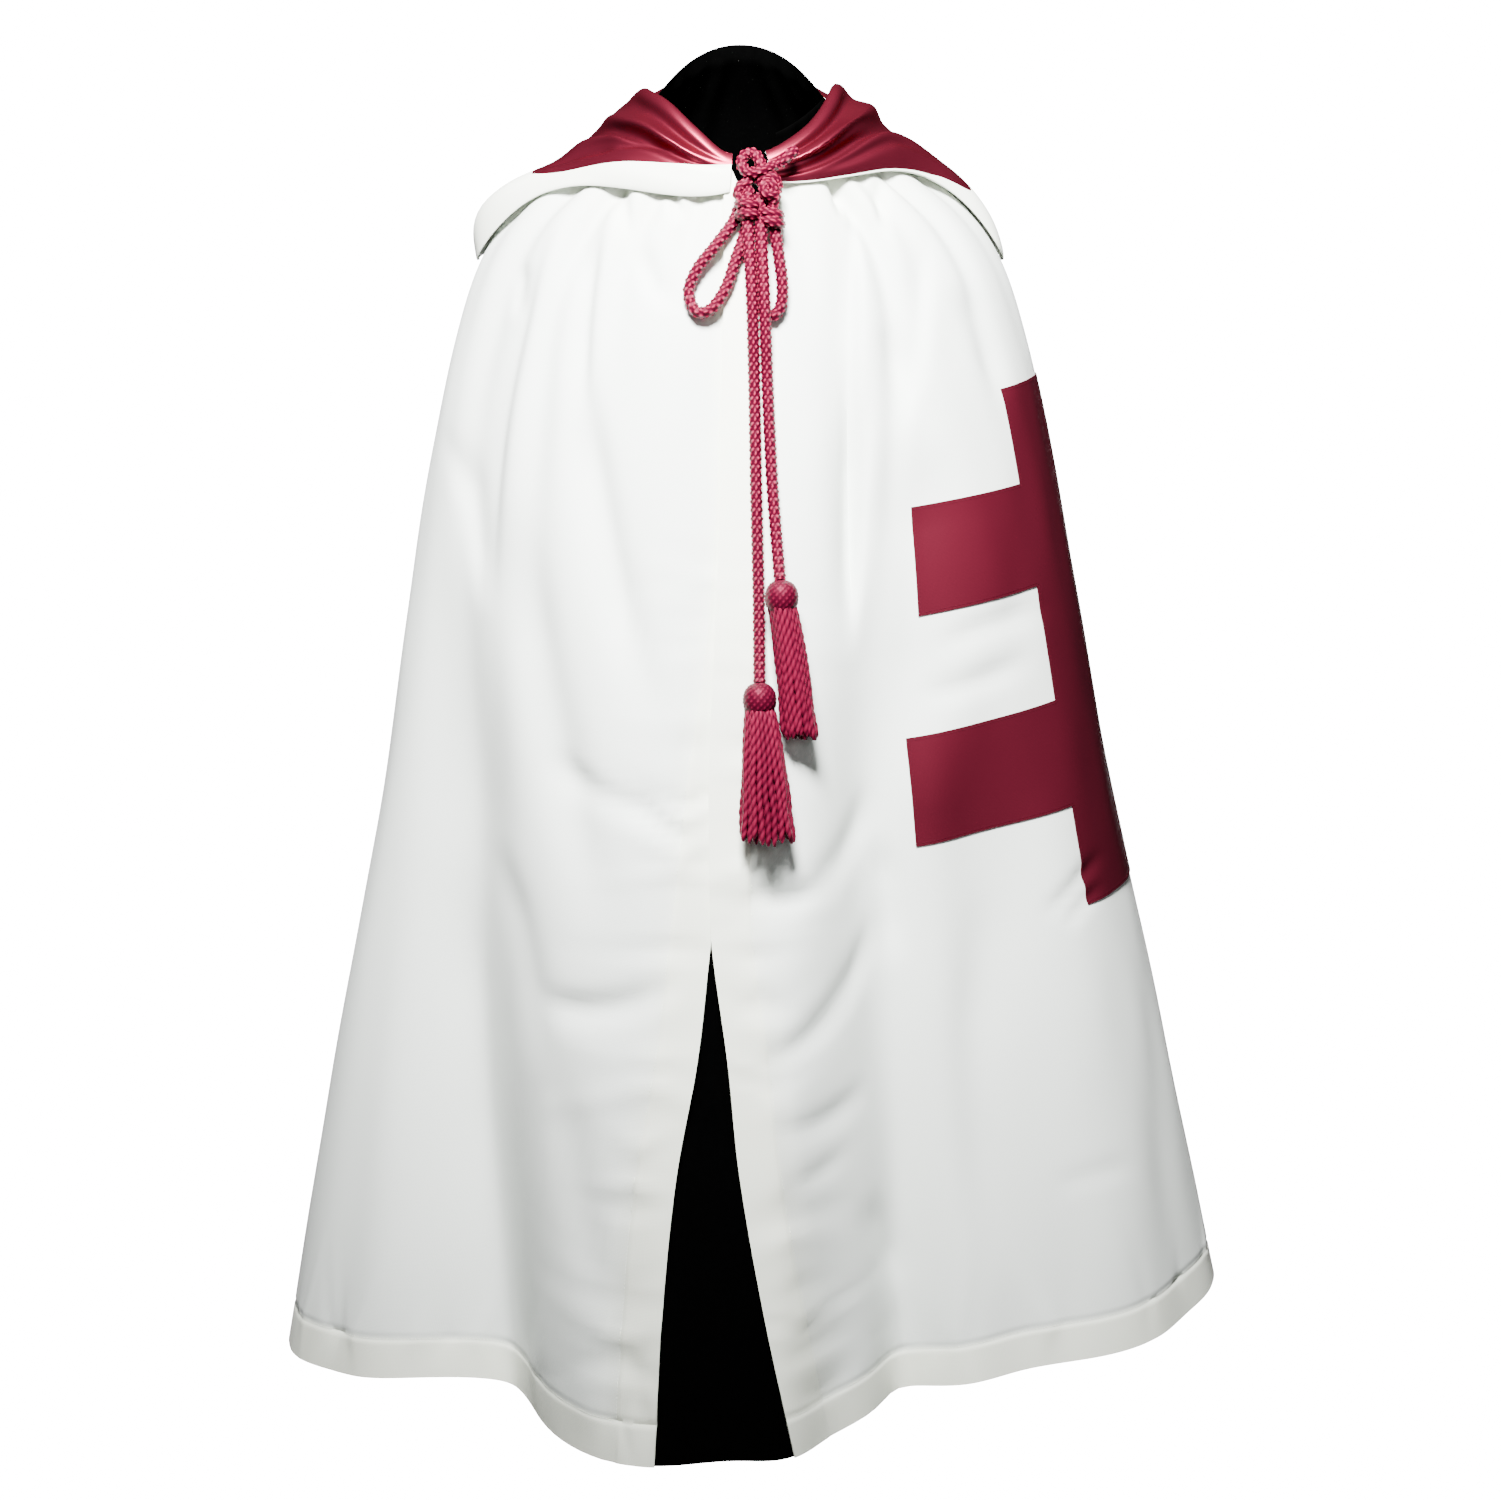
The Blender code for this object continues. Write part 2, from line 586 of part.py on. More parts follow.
def knot_solid(name, material):
    """Knot of the bow: a waisted lump with the cord's turns raised on it, flat underneath."""
    bm = bmesh.new()
    bmesh.ops.create_uvsphere(bm, u_segments=16, v_segments=11, radius=1.0)
    centre = front_point(KNOT_X, KNOT_Z, KNOT_OUT)
    for vert in bm.verts:
        way = vert.co.copy()
        waist = 1.0 - KNOT_WAIST * exp(-((way.z - WAIST_AT) / WAIST_SPREAD) ** 2)
        ridge = 1.0 + KNOT_RIDGE * sin(2.0 * pi * way.z + RIDGE_SLANT * way.x)
        way.x *= waist * ridge
        way.y *= waist
        way.z = max(way.z, -KNOT_FLAT)
        vert.co = centre + Vector([half * part for half, part in zip(KNOT_HALF, way)])
    return finish_mesh(name, bm, material)


def tassel_solid(name, route, lean, half, material):
    """Wound head with strands drawn out of its underside, set on the end of a cord."""
    onward = (route[-1] - route[-2]).normalized()
    head = route[-1] + onward * (HEAD_TALL + TASSEL_GAP)
    foot_z = head.z - HEAD_TALL - SKIRT_LENGTH
    clear = half * SKIRT_FLAT + TASSEL_CLEAR
    foot_y = min(front_point(head.x + lean + side * half, foot_z, clear).y for side in (-1.0, 0.0, 1.0))
    foot = Vector((lean, foot_y - head.y, foot_z - head.z))
    bm = bmesh.new()
    bmesh.ops.create_uvsphere(bm, u_segments=12, v_segments=8, radius=1.0)
    under = [f for f in bm.faces if f.calc_center_median().z < ROOT_LEVEL]
    for vert in bm.verts:
        vert.co = Vector((vert.co.x * HEAD_RADIUS, vert.co.y * HEAD_RADIUS, vert.co.z * HEAD_TALL))
    bmesh.ops.inset_individual(bm, faces=under, thickness=ROOT_INSET)
    starts = [f.calc_center_median() for f in under]
    widest = max(start.xy.length for start in starts)
    faces = under
    for part in STRAND_PARTS:
        faces = bmesh.ops.extrude_discrete_faces(bm, faces=faces)['faces']
        for face, start in zip(faces, starts):
            open_to = half / widest * (WAIST_SHARE + (1.0 - WAIST_SHARE) * part)
            spread = Vector((start.x * open_to, start.y * open_to * SKIRT_FLAT, 0.0))
            aim = start.lerp(spread + foot, part)
            if part == STRAND_PARTS[0]:
                aim = start.lerp(spread + Vector((0.0, 0.0, start.z)), ROOT_OPENING) + foot * part
            middle = face.calc_center_median()
            reach = max((vert.co - middle).length for vert in face.verts)
            size = STRAND_SIDE / (STRAND_SHAPE * reach)
            for vert in face.verts:
                offset = (vert.co - middle) * size
                offset.z *= TIP_SLANT
                vert.co = aim + offset
    for vert in bm.verts:
        vert.co += head
    return finish_mesh(name, bm, material)


for old in list(bpy.data.objects):
    bpy.data.objects.remove(old, do_unlink=True)
collection = bpy.data.collections.new(OBJECT_NAME)
bpy.context.scene.collection.children.link(collection)

cream = make_material("cream_cloth", CREAM, 0.75)
black = make_material("black_cloth", BLACK, 0.9)
satin = make_material("burgundy_satin", SATIN, 0.35)
cross = make_material("cross_cloth", CROSS_RED, 0.6)
cord = make_material("cord", CORD_RED, 0.6)

left_count = len(left_columns(0.0)) - 1
right_count = len(right_columns(0.0)) - 1
flush = [0.0] * len(DROPS)
body_sheet("body_left", left_surface, left_columns, 0, left_count, DROPS, flush, cream, BODY_WALL, True)
body_sheet("body_right", right_surface, right_columns, 0, right_count, DROPS, flush, cream, BODY_WALL, True)

neck_drops = (NECK_RISE, *DROPS[:NECK_FACING_FOOT])
neck_outs = [NECK_LIP] + [-(BODY_WALL + SEAM_GAP)] * NECK_FACING_FOOT
body_sheet("neck_facing_left", left_surface, left_columns, guide_column(SHAFT_BACK) - 2, left_count,
           neck_drops, neck_outs, black, LINING_WALL)
body_sheet("neck_facing_right", right_surface, right_columns, right_count - RIGHT_BACK_CELLS - 2, right_count,
           neck_drops, neck_outs, black, LINING_WALL)
cloth_sheet("underlap", UNDERLAP_CELLS, len(DROPS) - 1 - UNDERLAP_TOP, underlap_place, black, LINING_WALL)

shaft = (guide_column(SHAFT_FRONT), guide_column(SHAFT_BACK))
upper = (guide_column(UPPER_END), guide_column(UPPER_REAR))
lower = (guide_column(LOWER_END), guide_column(LOWER_REAR))
for name, ends, top, foot in (
    ("cross_top", shaft, CROSS_TOP, UPPER_TOP),
    ("cross_bar_upper", upper, UPPER_TOP, UPPER_FOOT),
    ("cross_middle", shaft, UPPER_FOOT, LOWER_TOP),
    ("cross_bar_lower", lower, LOWER_TOP, LOWER_FOOT),
    ("cross_foot", shaft, LOWER_FOOT, CROSS_FOOT),
):
    strip = (DROPS[top] + SEAM_GAP, *DROPS[top + 1:foot], DROPS[foot] - SEAM_GAP)
    on_top = [SEAM_GAP + CROSS_WALL] * len(strip)
    body_sheet(name, left_surface, left_columns, *ends, strip, on_top, cross, CROSS_WALL)

lining_out = SEAM_GAP + LINING_WALL
hood_cells = HOOD_LINING_CELLS + HOOD_FACING_CELLS
hood_sheet("hood_outer", 0, hood_cells, 0.0, cream, HOOD_WALL)
hood_sheet("hood_lining", 0, HOOD_LINING_CELLS, lining_out, satin, LINING_WALL, FACING_SPLIT)
hood_sheet("hood_facing", HOOD_LINING_CELLS, hood_cells, lining_out, cream, LINING_WALL)

knot_solid("knot", cord)
cord_tube("cord_neck", CORD_NECK, cord)
cord_tube("loop_right", LOOP_RIGHT, cord)
cord_tube("loop_left", LOOP_LEFT, cord)
right_end = cord_tube("tail_right", TAIL_RIGHT, cord)
left_end = cord_tube("tail_left", TAIL_LEFT, cord)
tassel_solid("tassel_right", right_end, TASSEL_RIGHT_LEAN, TASSEL_RIGHT_HALF, cord)
tassel_solid("tassel_left", left_end, TASSEL_LEFT_LEAN, TASSEL_LEFT_HALF, cord)
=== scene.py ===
"""Templar mantle: cream cloth, lowered hood, sewn cross, tied cord and tassels."""
from math import cos, pi, radians, sin

import bpy
import numpy as np
from bpy.props import FloatProperty, FloatVectorProperty, IntProperty, PointerProperty
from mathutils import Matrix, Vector


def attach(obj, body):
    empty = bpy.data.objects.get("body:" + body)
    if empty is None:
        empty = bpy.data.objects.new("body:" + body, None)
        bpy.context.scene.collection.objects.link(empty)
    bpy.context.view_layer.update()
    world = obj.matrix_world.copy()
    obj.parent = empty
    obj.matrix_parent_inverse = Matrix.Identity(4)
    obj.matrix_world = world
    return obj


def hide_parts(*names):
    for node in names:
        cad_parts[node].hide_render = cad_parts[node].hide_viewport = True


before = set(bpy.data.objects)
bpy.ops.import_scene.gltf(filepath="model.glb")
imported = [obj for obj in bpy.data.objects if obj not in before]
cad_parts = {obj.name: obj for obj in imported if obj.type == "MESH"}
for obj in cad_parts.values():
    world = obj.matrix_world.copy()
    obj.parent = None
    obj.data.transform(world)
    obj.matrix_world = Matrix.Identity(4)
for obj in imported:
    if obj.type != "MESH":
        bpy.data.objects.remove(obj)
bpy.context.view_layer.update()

bl_info = {
    "name": "Templar mantle",
    "version": (1, 0, 0),
    "blender": (4, 5, 0),
    "location": "3D View > Sidebar > Mantle",
    "description": "Finished cloth, hood, cross, cord and tassels of a ceremonial mantle",
    "category": "Object",
}

# Body sections from the neck (drop 0) to the hem (drop 1)
# Columns: drop, front_out, front_z, side_out, side_z, back_out, back_z
SECTIONS = np.array((
    (0.00, 0.098, -0.042, 0.080, -0.008, 0.078, 0.037),
    (0.03, 0.106, -0.064, 0.105, -0.023, 0.097, 0.018),
    (0.07, 0.116, -0.094, 0.146, -0.052, 0.118, -0.012),
    (0.12, 0.129, -0.136, 0.195, -0.090, 0.138, -0.060),
    (0.17, 0.142, -0.181, 0.227, -0.136, 0.153, -0.113),
    (0.23, 0.155, -0.235, 0.249, -0.202, 0.167, -0.178),
    (0.32, 0.174, -0.324, 0.271, -0.301, 0.183, -0.285),
    (0.45, 0.203, -0.475, 0.297, -0.442, 0.203, -0.445),
    (0.60, 0.231, -0.650, 0.328, -0.612, 0.226, -0.622),
    (0.80, 0.268, -0.885, 0.375, -0.842, 0.258, -0.865),
    (1.00, 0.302, -1.122, 0.421, -1.076, 0.290, -1.108),
))
FRONT_OUT, FRONT_Z, SIDE_OUT, SIDE_Z, BACK_OUT, BACK_Z = range(1, 7)
HEM_LEAN = 0.009
HEM_TILT = 0.030

# Front edges, measured across from the middle
# Columns: drop, over_x (left half, on top), under_x (right half)
FRONT_EDGES = np.array((
    (0.00, -0.012, 0.018),
    (0.17, -0.0135, 0.019),
    (0.34, -0.0165, 0.014),
    (0.43, -0.0210, 0.006),
    (0.52, -0.0255, -0.009),
    (0.60, -0.0246, -0.0185),
    (0.64, -0.0230, -0.0245),
    (0.72, -0.0100, -0.0350),
    (0.80, 0.0000, -0.0520),
    (0.90, 0.0210, -0.0640),
    (1.00, 0.0470, -0.0700),
))
OVER_X, UNDER_X = 1, 2
LAP_STEP = 0.0042
LAP_EASE_FAR, LAP_EASE_NEAR = 0.045, 0.004
LAP_FADE_TOP, LAP_FADE_FOOT = 0.66, 0.84
LAP_TURN = 60.0

# Large folds that open towards the hem; turns are degrees from the middle front
# Columns: turn_start, turn_hem, spread, start_drop, depth, hem_rise
FOLDS = (
    (-60.0, -44.0, 16.0, 0.26, 0.056, 0.028),
    (-20.0, -12.0, 8.0, 0.45, -0.014, -0.004),
    (-74.0, -66.0, 7.0, 0.55, 0.010, 0.002),
    (23.0, 20.0, 9.0, 0.26, 0.066, 0.014),
    (42.0, 36.0, 13.0, 0.36, 0.050, 0.014),
    (8.0, 4.0, 5.0, 0.50, -0.010, -0.004),
    (78.0, 66.0, 6.0, 0.64, 0.005, 0.000),
    (113.0, 109.0, 10.0, 0.34, 0.034, 0.004),
    (142.0, 139.0, 11.0, 0.30, 0.046, 0.005),
    (168.0, 169.0, 9.0, 0.32, 0.034, 0.003),
    (200.0, 203.0, 10.0, 0.28, 0.044, 0.005),
    (228.0, 232.0, 11.0, 0.34, 0.040, 0.004),
    (254.0, 257.0, 9.0, 0.30, 0.032, 0.003),
)
FOLD_OPENING = 0.32
FOLD_HEAD = 0.45

# Gathers at the neck, as soft tucks that run out down the cloth
# Columns: turn_neck, turn_end, spread_neck, spread_end, reach, depth
GATHERS = (
    (-84.0, -78.0, 5.0, 6.0, 0.26, 0.005),
    (-64.0, -62.0, 4.5, 6.0, 0.45, 0.008),
    (-48.0, -36.0, 4.0, 4.5, 0.50, 0.009),
    (-32.0, -24.0, 4.0, 4.0, 0.30, 0.006),
    (-17.0, -12.0, 3.5, 3.5, 0.22, 0.005),
    (20.0, 13.0, 4.0, 3.5, 0.24, 0.005),
    (41.0, 22.0, 3.6, 3.2, 0.50, 0.010),
    (52.0, 44.0, 3.0, 4.0, 0.20, 0.005),
    (62.0, 58.0, 3.2, 4.5, 0.34, 0.007),
    (80.0, 76.0, 5.0, 6.0, 0.26, 0.005),
    (100.0, 98.0, 5.0, 6.0, 0.30, 0.006),
    (117.0, 113.0, 4.5, 6.0, 0.38, 0.007),
    (133.0, 129.0, 4.5, 5.5, 0.28, 0.006),
    (148.0, 145.0, 4.5, 5.5, 0.40, 0.007),
    (163.0, 161.0, 4.5, 5.5, 0.30, 0.006),
    (178.0, 178.0, 4.5, 5.5, 0.34, 0.005),
    (193.0, 195.0, 4.5, 5.5, 0.42, 0.007),
    (209.0, 211.0, 4.5, 5.5, 0.28, 0.006),
    (225.0, 229.0, 4.5, 5.5, 0.36, 0.007),
    (242.0, 246.0, 4.5, 6.0, 0.30, 0.006),
    (259.0, 262.0, 5.0, 6.0, 0.30, 0.006),
)
GATHER_HEAD = 0.03
GATHER_AT_SEAM = 0.4
GATHER_HOLD = 0.3

# Creases on the front, placed one by one where the cloth breaks
# Columns: start x, start z, end x, end z, bow sideways, width on its -x side, on its +x side, depth
FRONT_CREASES = (
    (-0.252, -0.290, -0.232, -0.420, 0.004, 0.008, 0.016, 0.0060),
    (-0.169, -0.110, -0.222, -0.400, -0.010, 0.030, 0.010, 0.0120),
    (-0.121, -0.100, -0.134, -0.250, -0.004, 0.016, 0.007, 0.0105),
    (-0.134, -0.230, -0.076, -0.500, -0.006, 0.018, 0.014, 0.0115),
    (-0.187, -0.360, -0.117, -0.670, -0.008, 0.026, 0.022, 0.0110),
    (-0.165, -0.548, -0.056, -0.588, -0.006, 0.014, 0.012, 0.0058),
    (-0.090, -0.572, -0.044, -0.610, -0.003, 0.008, 0.008, 0.0051),
    (-0.172, -0.752, -0.054, -0.728, -0.010, 0.013, 0.012, 0.0075),
    (-0.191, -0.134, -0.199, -0.178, 0.000, 0.006, 0.009, 0.0051),
    (-0.279, -0.680, -0.292, -1.000, 0.004, 0.020, 0.026, 0.0068),
    (-0.150, -0.810, -0.116, -1.000, -0.006, 0.020, 0.018, 0.0058),
    (-0.084, -0.118, -0.058, -0.170, -0.004, 0.008, 0.010, 0.0048),
    (-0.220, -0.640, -0.180, -0.800, 0.010, 0.022, 0.018, 0.0051),
    (0.096, -0.080, 0.100, -0.425, -0.003, 0.024, 0.006, 0.0112),
    (0.012, -0.640, 0.060, -0.660, -0.006, 0.012, 0.010, 0.0068),
    (0.050, -0.660, 0.122, -0.575, -0.010, 0.014, 0.012, 0.0062),
    (0.022, -0.796, 0.128, -0.690, -0.012, 0.014, 0.010, 0.0078),
    (0.036, -0.846, 0.118, -0.826, -0.008, 0.012, 0.009, 0.0046),
    (0.040, -0.893, 0.098, -0.874, -0.005, 0.009, 0.008, 0.0032),
    (0.104, -0.260, 0.098, -0.440, 0.000, 0.014, 0.005, 0.0090),
    (0.156, -0.118, 0.140, -0.265, 0.004, 0.018, 0.008, 0.0061),
    (0.274, -0.690, 0.312, -0.645, 0.000, 0.007, 0.006, 0.0034),
    (0.286, -0.700, 0.313, -0.670, 0.000, 0.006, 0.006, 0.0030),
    (0.290, -0.925, 0.345, -0.912, 0.004, 0.009, 0.009, 0.0016),
    (0.178, -0.452, 0.262, -0.430, 0.003, 0.010, 0.010, 0.0031),
    (0.166, -0.494, 0.252, -0.470, -0.003, 0.010, 0.010, 0.0034),
    (0.124, -0.190, 0.163, -0.285, 0.004, 0.012, 0.014, 0.0044),
    (0.136, -0.620, 0.152, -0.720, 0.003, 0.014, 0.012, 0.0058),
    (0.224, -0.690, 0.234, -0.990, -0.006, 0.024, 0.022, 0.0061),
    (0.186, -0.158, 0.225, -0.245, 0.004, 0.012, 0.014, 0.0044),
    (0.118, -0.930, 0.160, -1.010, 0.004, 0.016, 0.016, 0.0051),
    (-0.060, -0.058, -0.050, -0.098, 0.000, 0.006, 0.004, 0.0060),
    (-0.100, -0.060, -0.096, -0.110, 0.000, 0.007, 0.005, 0.0050),
    (0.082, -0.056, 0.088, -0.094, 0.000, 0.005, 0.004, 0.0060),
    (0.120, -0.060, 0.124, -0.110, 0.000, 0.006, 0.005, 0.0050),
    (-0.270, -0.762, -0.090, -3.362, -0.012, 0.050, 0.086, 0.0980),
    (-0.110, -0.640, -0.100, -1.120, 0.010, 0.040, 0.030, 0.0060),
    (0.070, -0.860, 0.180, -3.460, 0.006, 0.030, 0.034, 0.0440),
    (0.158, -0.800, 0.250, -3.400, 0.006, 0.030, 0.034, 0.0540),
    (0.148, -0.270, 0.165, -0.560, 0.000, 0.030, 0.034, 0.0170),
    (0.095, -0.220, 0.098, -0.410, 0.003, 0.010, 0.017, 0.0080),
    (0.285, -0.800, 0.312, -1.120, 0.004, 0.024, 0.030, 0.0030),
)

# Creases on the hidden back, of the same kinds
BACK_CREASES = (
    (0.020, -0.300, 0.070, -0.520, 0.006, 0.014, 0.020, 0.0078),
    (-0.060, -0.330, -0.020, -0.600, -0.006, 0.020, 0.014, 0.0075),
    (0.150, -0.260, 0.120, -0.470, 0.006, 0.016, 0.020, 0.0075),
    (-0.150, -0.280, -0.170, -0.520, -0.004, 0.018, 0.010, 0.0078),
    (0.210, -0.500, 0.180, -0.760, 0.006, 0.020, 0.018, 0.0068),
    (-0.220, -0.560, -0.190, -0.830, -0.008, 0.018, 0.022, 0.0071),
    (0.040, -0.700, 0.140, -0.760, -0.008, 0.014, 0.012, 0.0065),
    (-0.130, -0.780, -0.030, -0.730, 0.006, 0.012, 0.014, 0.0065),
    (0.100, -0.850, 0.060, -1.020, 0.004, 0.018, 0.016, 0.0058),
    (-0.080, -0.860, -0.110, -1.030, -0.004, 0.018, 0.018, 0.0058),
    (0.300, -0.700, 0.270, -0.960, 0.006, 0.020, 0.020, 0.0061),
    (-0.300, -0.740, -0.310, -0.980, 0.004, 0.018, 0.022, 0.0061),
)

# How the creases of body and hood run in and out along their lines
CREASE_HEAD, CREASE_END = (-0.12, 0.30), (0.62, 1.12)
HOOD_HEAD, HOOD_END = (-0.15, 0.25), (0.70, 1.15)
# Where front creases give way to back ones, and where the faint waves grow
FRONT_SHARE, SLACK_GROWS = (-0.25, 0.15), (0.05, 0.30)

# Dip of the neckline behind the knot
NOTCH_DROP, NOTCH_TURN, NOTCH_SPREAD, NOTCH_EASE = 0.050, 5.0, 9.0, 0.16

# Turned-in fronts and hem
FACING_WIDTH = 0.035
HEM_DROP = 0.971
CLOTH_LENGTH = 1.12
NEAR_STITCHES = 0.10
FACING_TURN = 70.0
FACING_TOP, FACING_SPAN = 0.24, 0.74
HEM_OUT = 0.36
STITCH_DEPTH, STITCH_SPREAD = 0.0015, 0.0018
SEAM_DEPTH, SEAM_SPREAD = 0.0012, 0.7
FACING_PUCKERS, HEM_PUCKERS, PUCKER_SEED = 46, 84, 11
PUCKER_MOST = 0.0034
PUCKER_GROWS = (0.25, 0.62)
# How puckers fade beyond their line, and the hem's puckers beside the facing's
FACING_FADE, HEM_FADE = 0.8, 0.5
HEM_HIGH, HEM_WIDE = 0.7, 1.3
# Where the cloth lies double, and the creamier painted warm light near the neck
FACING_EASE, HEM_EASE = (0.97, 1.03), 0.002
NECK_PAINTED_LIGHT, NECK_PAINTED_LIGHT_FOOT = 0.8, 0.16

# The cross: bars by their guide turns at neck and hem, and by drops
# Columns: turn at the neck, turn at the hem
LOWER_END, UPPER_END = (26.5, 32.2), (33.2, 33.2)
SHAFT_FRONT, SHAFT_BACK = (60.0, 62.0), (97.0, 81.0)
UPPER_REAR, LOWER_REAR = (132.0, 120.0), (142.0, 130.0)
CROSS_DROPS = (0.262, 0.338, 0.419, 0.508, 0.590, 0.667)
CROSS_GUIDES = (LOWER_END, UPPER_END, SHAFT_FRONT, SHAFT_BACK, UPPER_REAR, LOWER_REAR)
CROSS_COLUMN_CELLS = (0, 5, 34, 28, 40, 10)
CROSS_ROW_CELLS = (0, 26, 28, 30, 28, 26)
# Columns: first and last column band of the cross in each of its five row bands
CROSS_SPANS = ((2, 2), (1, 3), (2, 2), (0, 4), (2, 2))
# Corners of the cross in turn: guide, row
CROSS_OUTLINE = (
    (2, 0), (3, 0), (3, 1), (4, 1), (4, 2), (3, 2), (3, 3), (5, 3), (5, 4), (3, 4), (3, 5), (2, 5), (2, 4),
    (0, 4),
    (0, 3), (2, 3), (2, 2), (1, 2), (1, 1), (2, 1), (2, 0),
)
CROSS_SEWN = 0.0025
# Where the front's stitches start, and the marks on each sewn line
SEWN_FROM = 0.10
FRONT_MARKS, HEM_MARKS, CROSS_MARKS = 700, 900, 120
# Half sizes of one stitch: across, out, along
STITCH_HALF = (0.00032, 0.00028, 0.00125)
CROSS_NODES = ("cross_top", "cross_bar_upper", "cross_middle", "cross_bar_lower", "cross_foot")

# Hood sections by turn, each a curve from the neck seam to the face edge
# Columns: turn, then run and lift of six points; run is along the body from the neck
HOOD = np.array((
    (15.0, 0.002, 0.0020, 0.007, 0.0040, 0.013, 0.0046, 0.019, 0.0046, 0.025, 0.0036, 0.030, 0.0024),
    (45.0, 0.002, 0.0024, 0.007, 0.0110, 0.018, 0.0150, 0.031, 0.0100, 0.044, 0.0090, 0.055, 0.0030),
    (70.0, 0.002, 0.0026, 0.010, 0.0120, 0.028, 0.0130, 0.048, 0.0160, 0.068, 0.0110, 0.086, 0.0034),
    (80.0, 0.002, 0.0026, 0.012, 0.0120, 0.036, 0.0140, 0.066, 0.0170, 0.096, 0.0110, 0.120, 0.0040),
    (88.0, 0.002, 0.0026, 0.014, 0.0120, 0.046, 0.0150, 0.098, 0.0170, 0.150, 0.0120, 0.188, 0.0036),
    (102.0, 0.002, 0.0026, 0.022, 0.0120, 0.066, 0.0120, 0.124, 0.0110, 0.170, 0.0110, 0.202, 0.0056),
    (120.0, 0.002, 0.0026, 0.036, 0.0110, 0.094, 0.0080, 0.164, 0.0100, 0.206, 0.0200, 0.204, 0.0330),
    (148.0, 0.002, 0.0026, 0.056, 0.0076, 0.140, 0.0070, 0.240, 0.0100, 0.266, 0.0310, 0.156, 0.0520),
    (180.0, 0.002, 0.0026, 0.066, 0.0076, 0.164, 0.0070, 0.270, 0.0110, 0.296, 0.0340, 0.142, 0.0560),
    (212.0, 0.002, 0.0026, 0.056, 0.0076, 0.140, 0.0070, 0.240, 0.0100, 0.266, 0.0310, 0.156, 0.0520),
    (240.0, 0.002, 0.0026, 0.036, 0.0110, 0.094, 0.0080, 0.164, 0.0100, 0.206, 0.0200, 0.204, 0.0330),
    (258.0, 0.002, 0.0026, 0.020, 0.0110, 0.066, 0.0070, 0.122, 0.0120, 0.172, 0.0230, 0.202, 0.0070),
    (272.0, 0.002, 0.0026, 0.014, 0.0100, 0.048, 0.0050, 0.094, 0.0090, 0.152, 0.0210, 0.190, 0.0036),
    (290.0, 0.002, 0.0026, 0.010, 0.0100, 0.031, 0.0060, 0.057, 0.0060, 0.088, 0.0080, 0.112, 0.0032),
    (315.0, 0.002, 0.0024, 0.006, 0.0110, 0.018, 0.0140, 0.036, 0.0110, 0.054, 0.0090, 0.068, 0.0030),
    (356.0, 0.002, 0.0020, 0.008, 0.0040, 0.014, 0.0046, 0.021, 0.0046, 0.028, 0.0036, 0.035, 0.0024),
))
HOOD_POINTS = 6
HOOD_FIRST, HOOD_LAST = 15.0, 356.0
# Where the hood's lining meets the turned-in edge
# Columns: turn, level
HOOD_FACING = np.array((
    (15.0, 0.95),
    (60.0, 0.972),
    (76.0, 0.95),
    (84.0, 0.82),
    (92.0, 0.68),
    (104.0, 0.68),
    (118.0, 0.84),
    (140.0, 0.94),
    (205.0, 0.94),
    (228.0, 0.80),
    (246.0, 0.60),
    (262.0, 0.56),
    (272.0, 0.63),
    (281.0, 0.76),
    (292.0, 0.82),
    (315.0, 0.68),
    (356.0, 0.34),
))
# Height that the hood's cloth stands up at the neck
# Columns: turn, rise
HOOD_COLLAR = np.array((
    (15.0, 0.000),
    (26.0, 0.003),
    (45.0, 0.007),
    (60.0, 0.013),
    (75.0, 0.019),
    (90.0, 0.018),
    (102.0, 0.008),
    (118.0, 0.001),
    (180.0, 0.000),
    (245.0, 0.001),
    (262.0, 0.006),
    (272.0, 0.012),
    (281.0, 0.017),
    (292.0, 0.019),
    (315.0, 0.021),
    (335.0, 0.014),
    (350.0, 0.003),
    (356.0, 0.000),
))
COLLAR_CREST, COLLAR_FOOT, COLLAR_LEAN = 0.08, 0.42, 0.3
HOOD_CLEAR, HOOD_LEAST = 0.0030, 0.0002
HOOD_DROPS = 0.42 * np.arange(41) / 40.0
HOOD_DOUBLED = 0.75
# Rounding of the rim, and the gap left before the seam of satin and edge
RIM_SHARP, EDGE_LEAST, SEAM_SHORT = 4.0, 0.02, 0.3
HOOD_FADE_IN, HOOD_FADE_OUT = (0.04, 0.12), (0.93, 0.99)
# Folds pressed into the hood's cloth; ridges have a negative depth
# Columns: start turn, start level, end turn, end level, spread in level, depth
HOOD_CREASES = (
    (94.0, 0.21, 22.0, 0.36, 0.040, 0.0080),
    (96.0, 0.30, 20.0, 0.50, 0.042, -0.0064),
    (94.0, 0.39, 16.0, 0.76, 0.048, 0.0130),
    (86.0, 0.62, 40.0, 0.80, 0.050, 0.0040),
    (272.0, 0.24, 345.0, 0.28, 0.040, 0.0070),
    (264.0, 0.33, 335.0, 0.37, 0.040, -0.0064),
    (262.0, 0.43, 345.0, 0.46, 0.050, 0.0100),
    (276.0, 0.56, 306.0, 0.48, 0.042, -0.0066),
    (280.0, 0.68, 300.0, 0.62, 0.035, 0.0050),
    (304.0, 0.56, 328.0, 0.40, 0.035, 0.0050),
    (150.0, 0.30, 215.0, 0.36, 0.050, 0.0030),
    (130.0, 0.50, 185.0, 0.46, 0.050, 0.0026),
    (160.0, 0.86, 205.0, 0.90, 0.030, 0.0030),
    (200.0, 0.80, 238.0, 0.88, 0.030, 0.0026),
    (122.0, 0.88, 158.0, 0.80, 0.030, 0.0028),
)
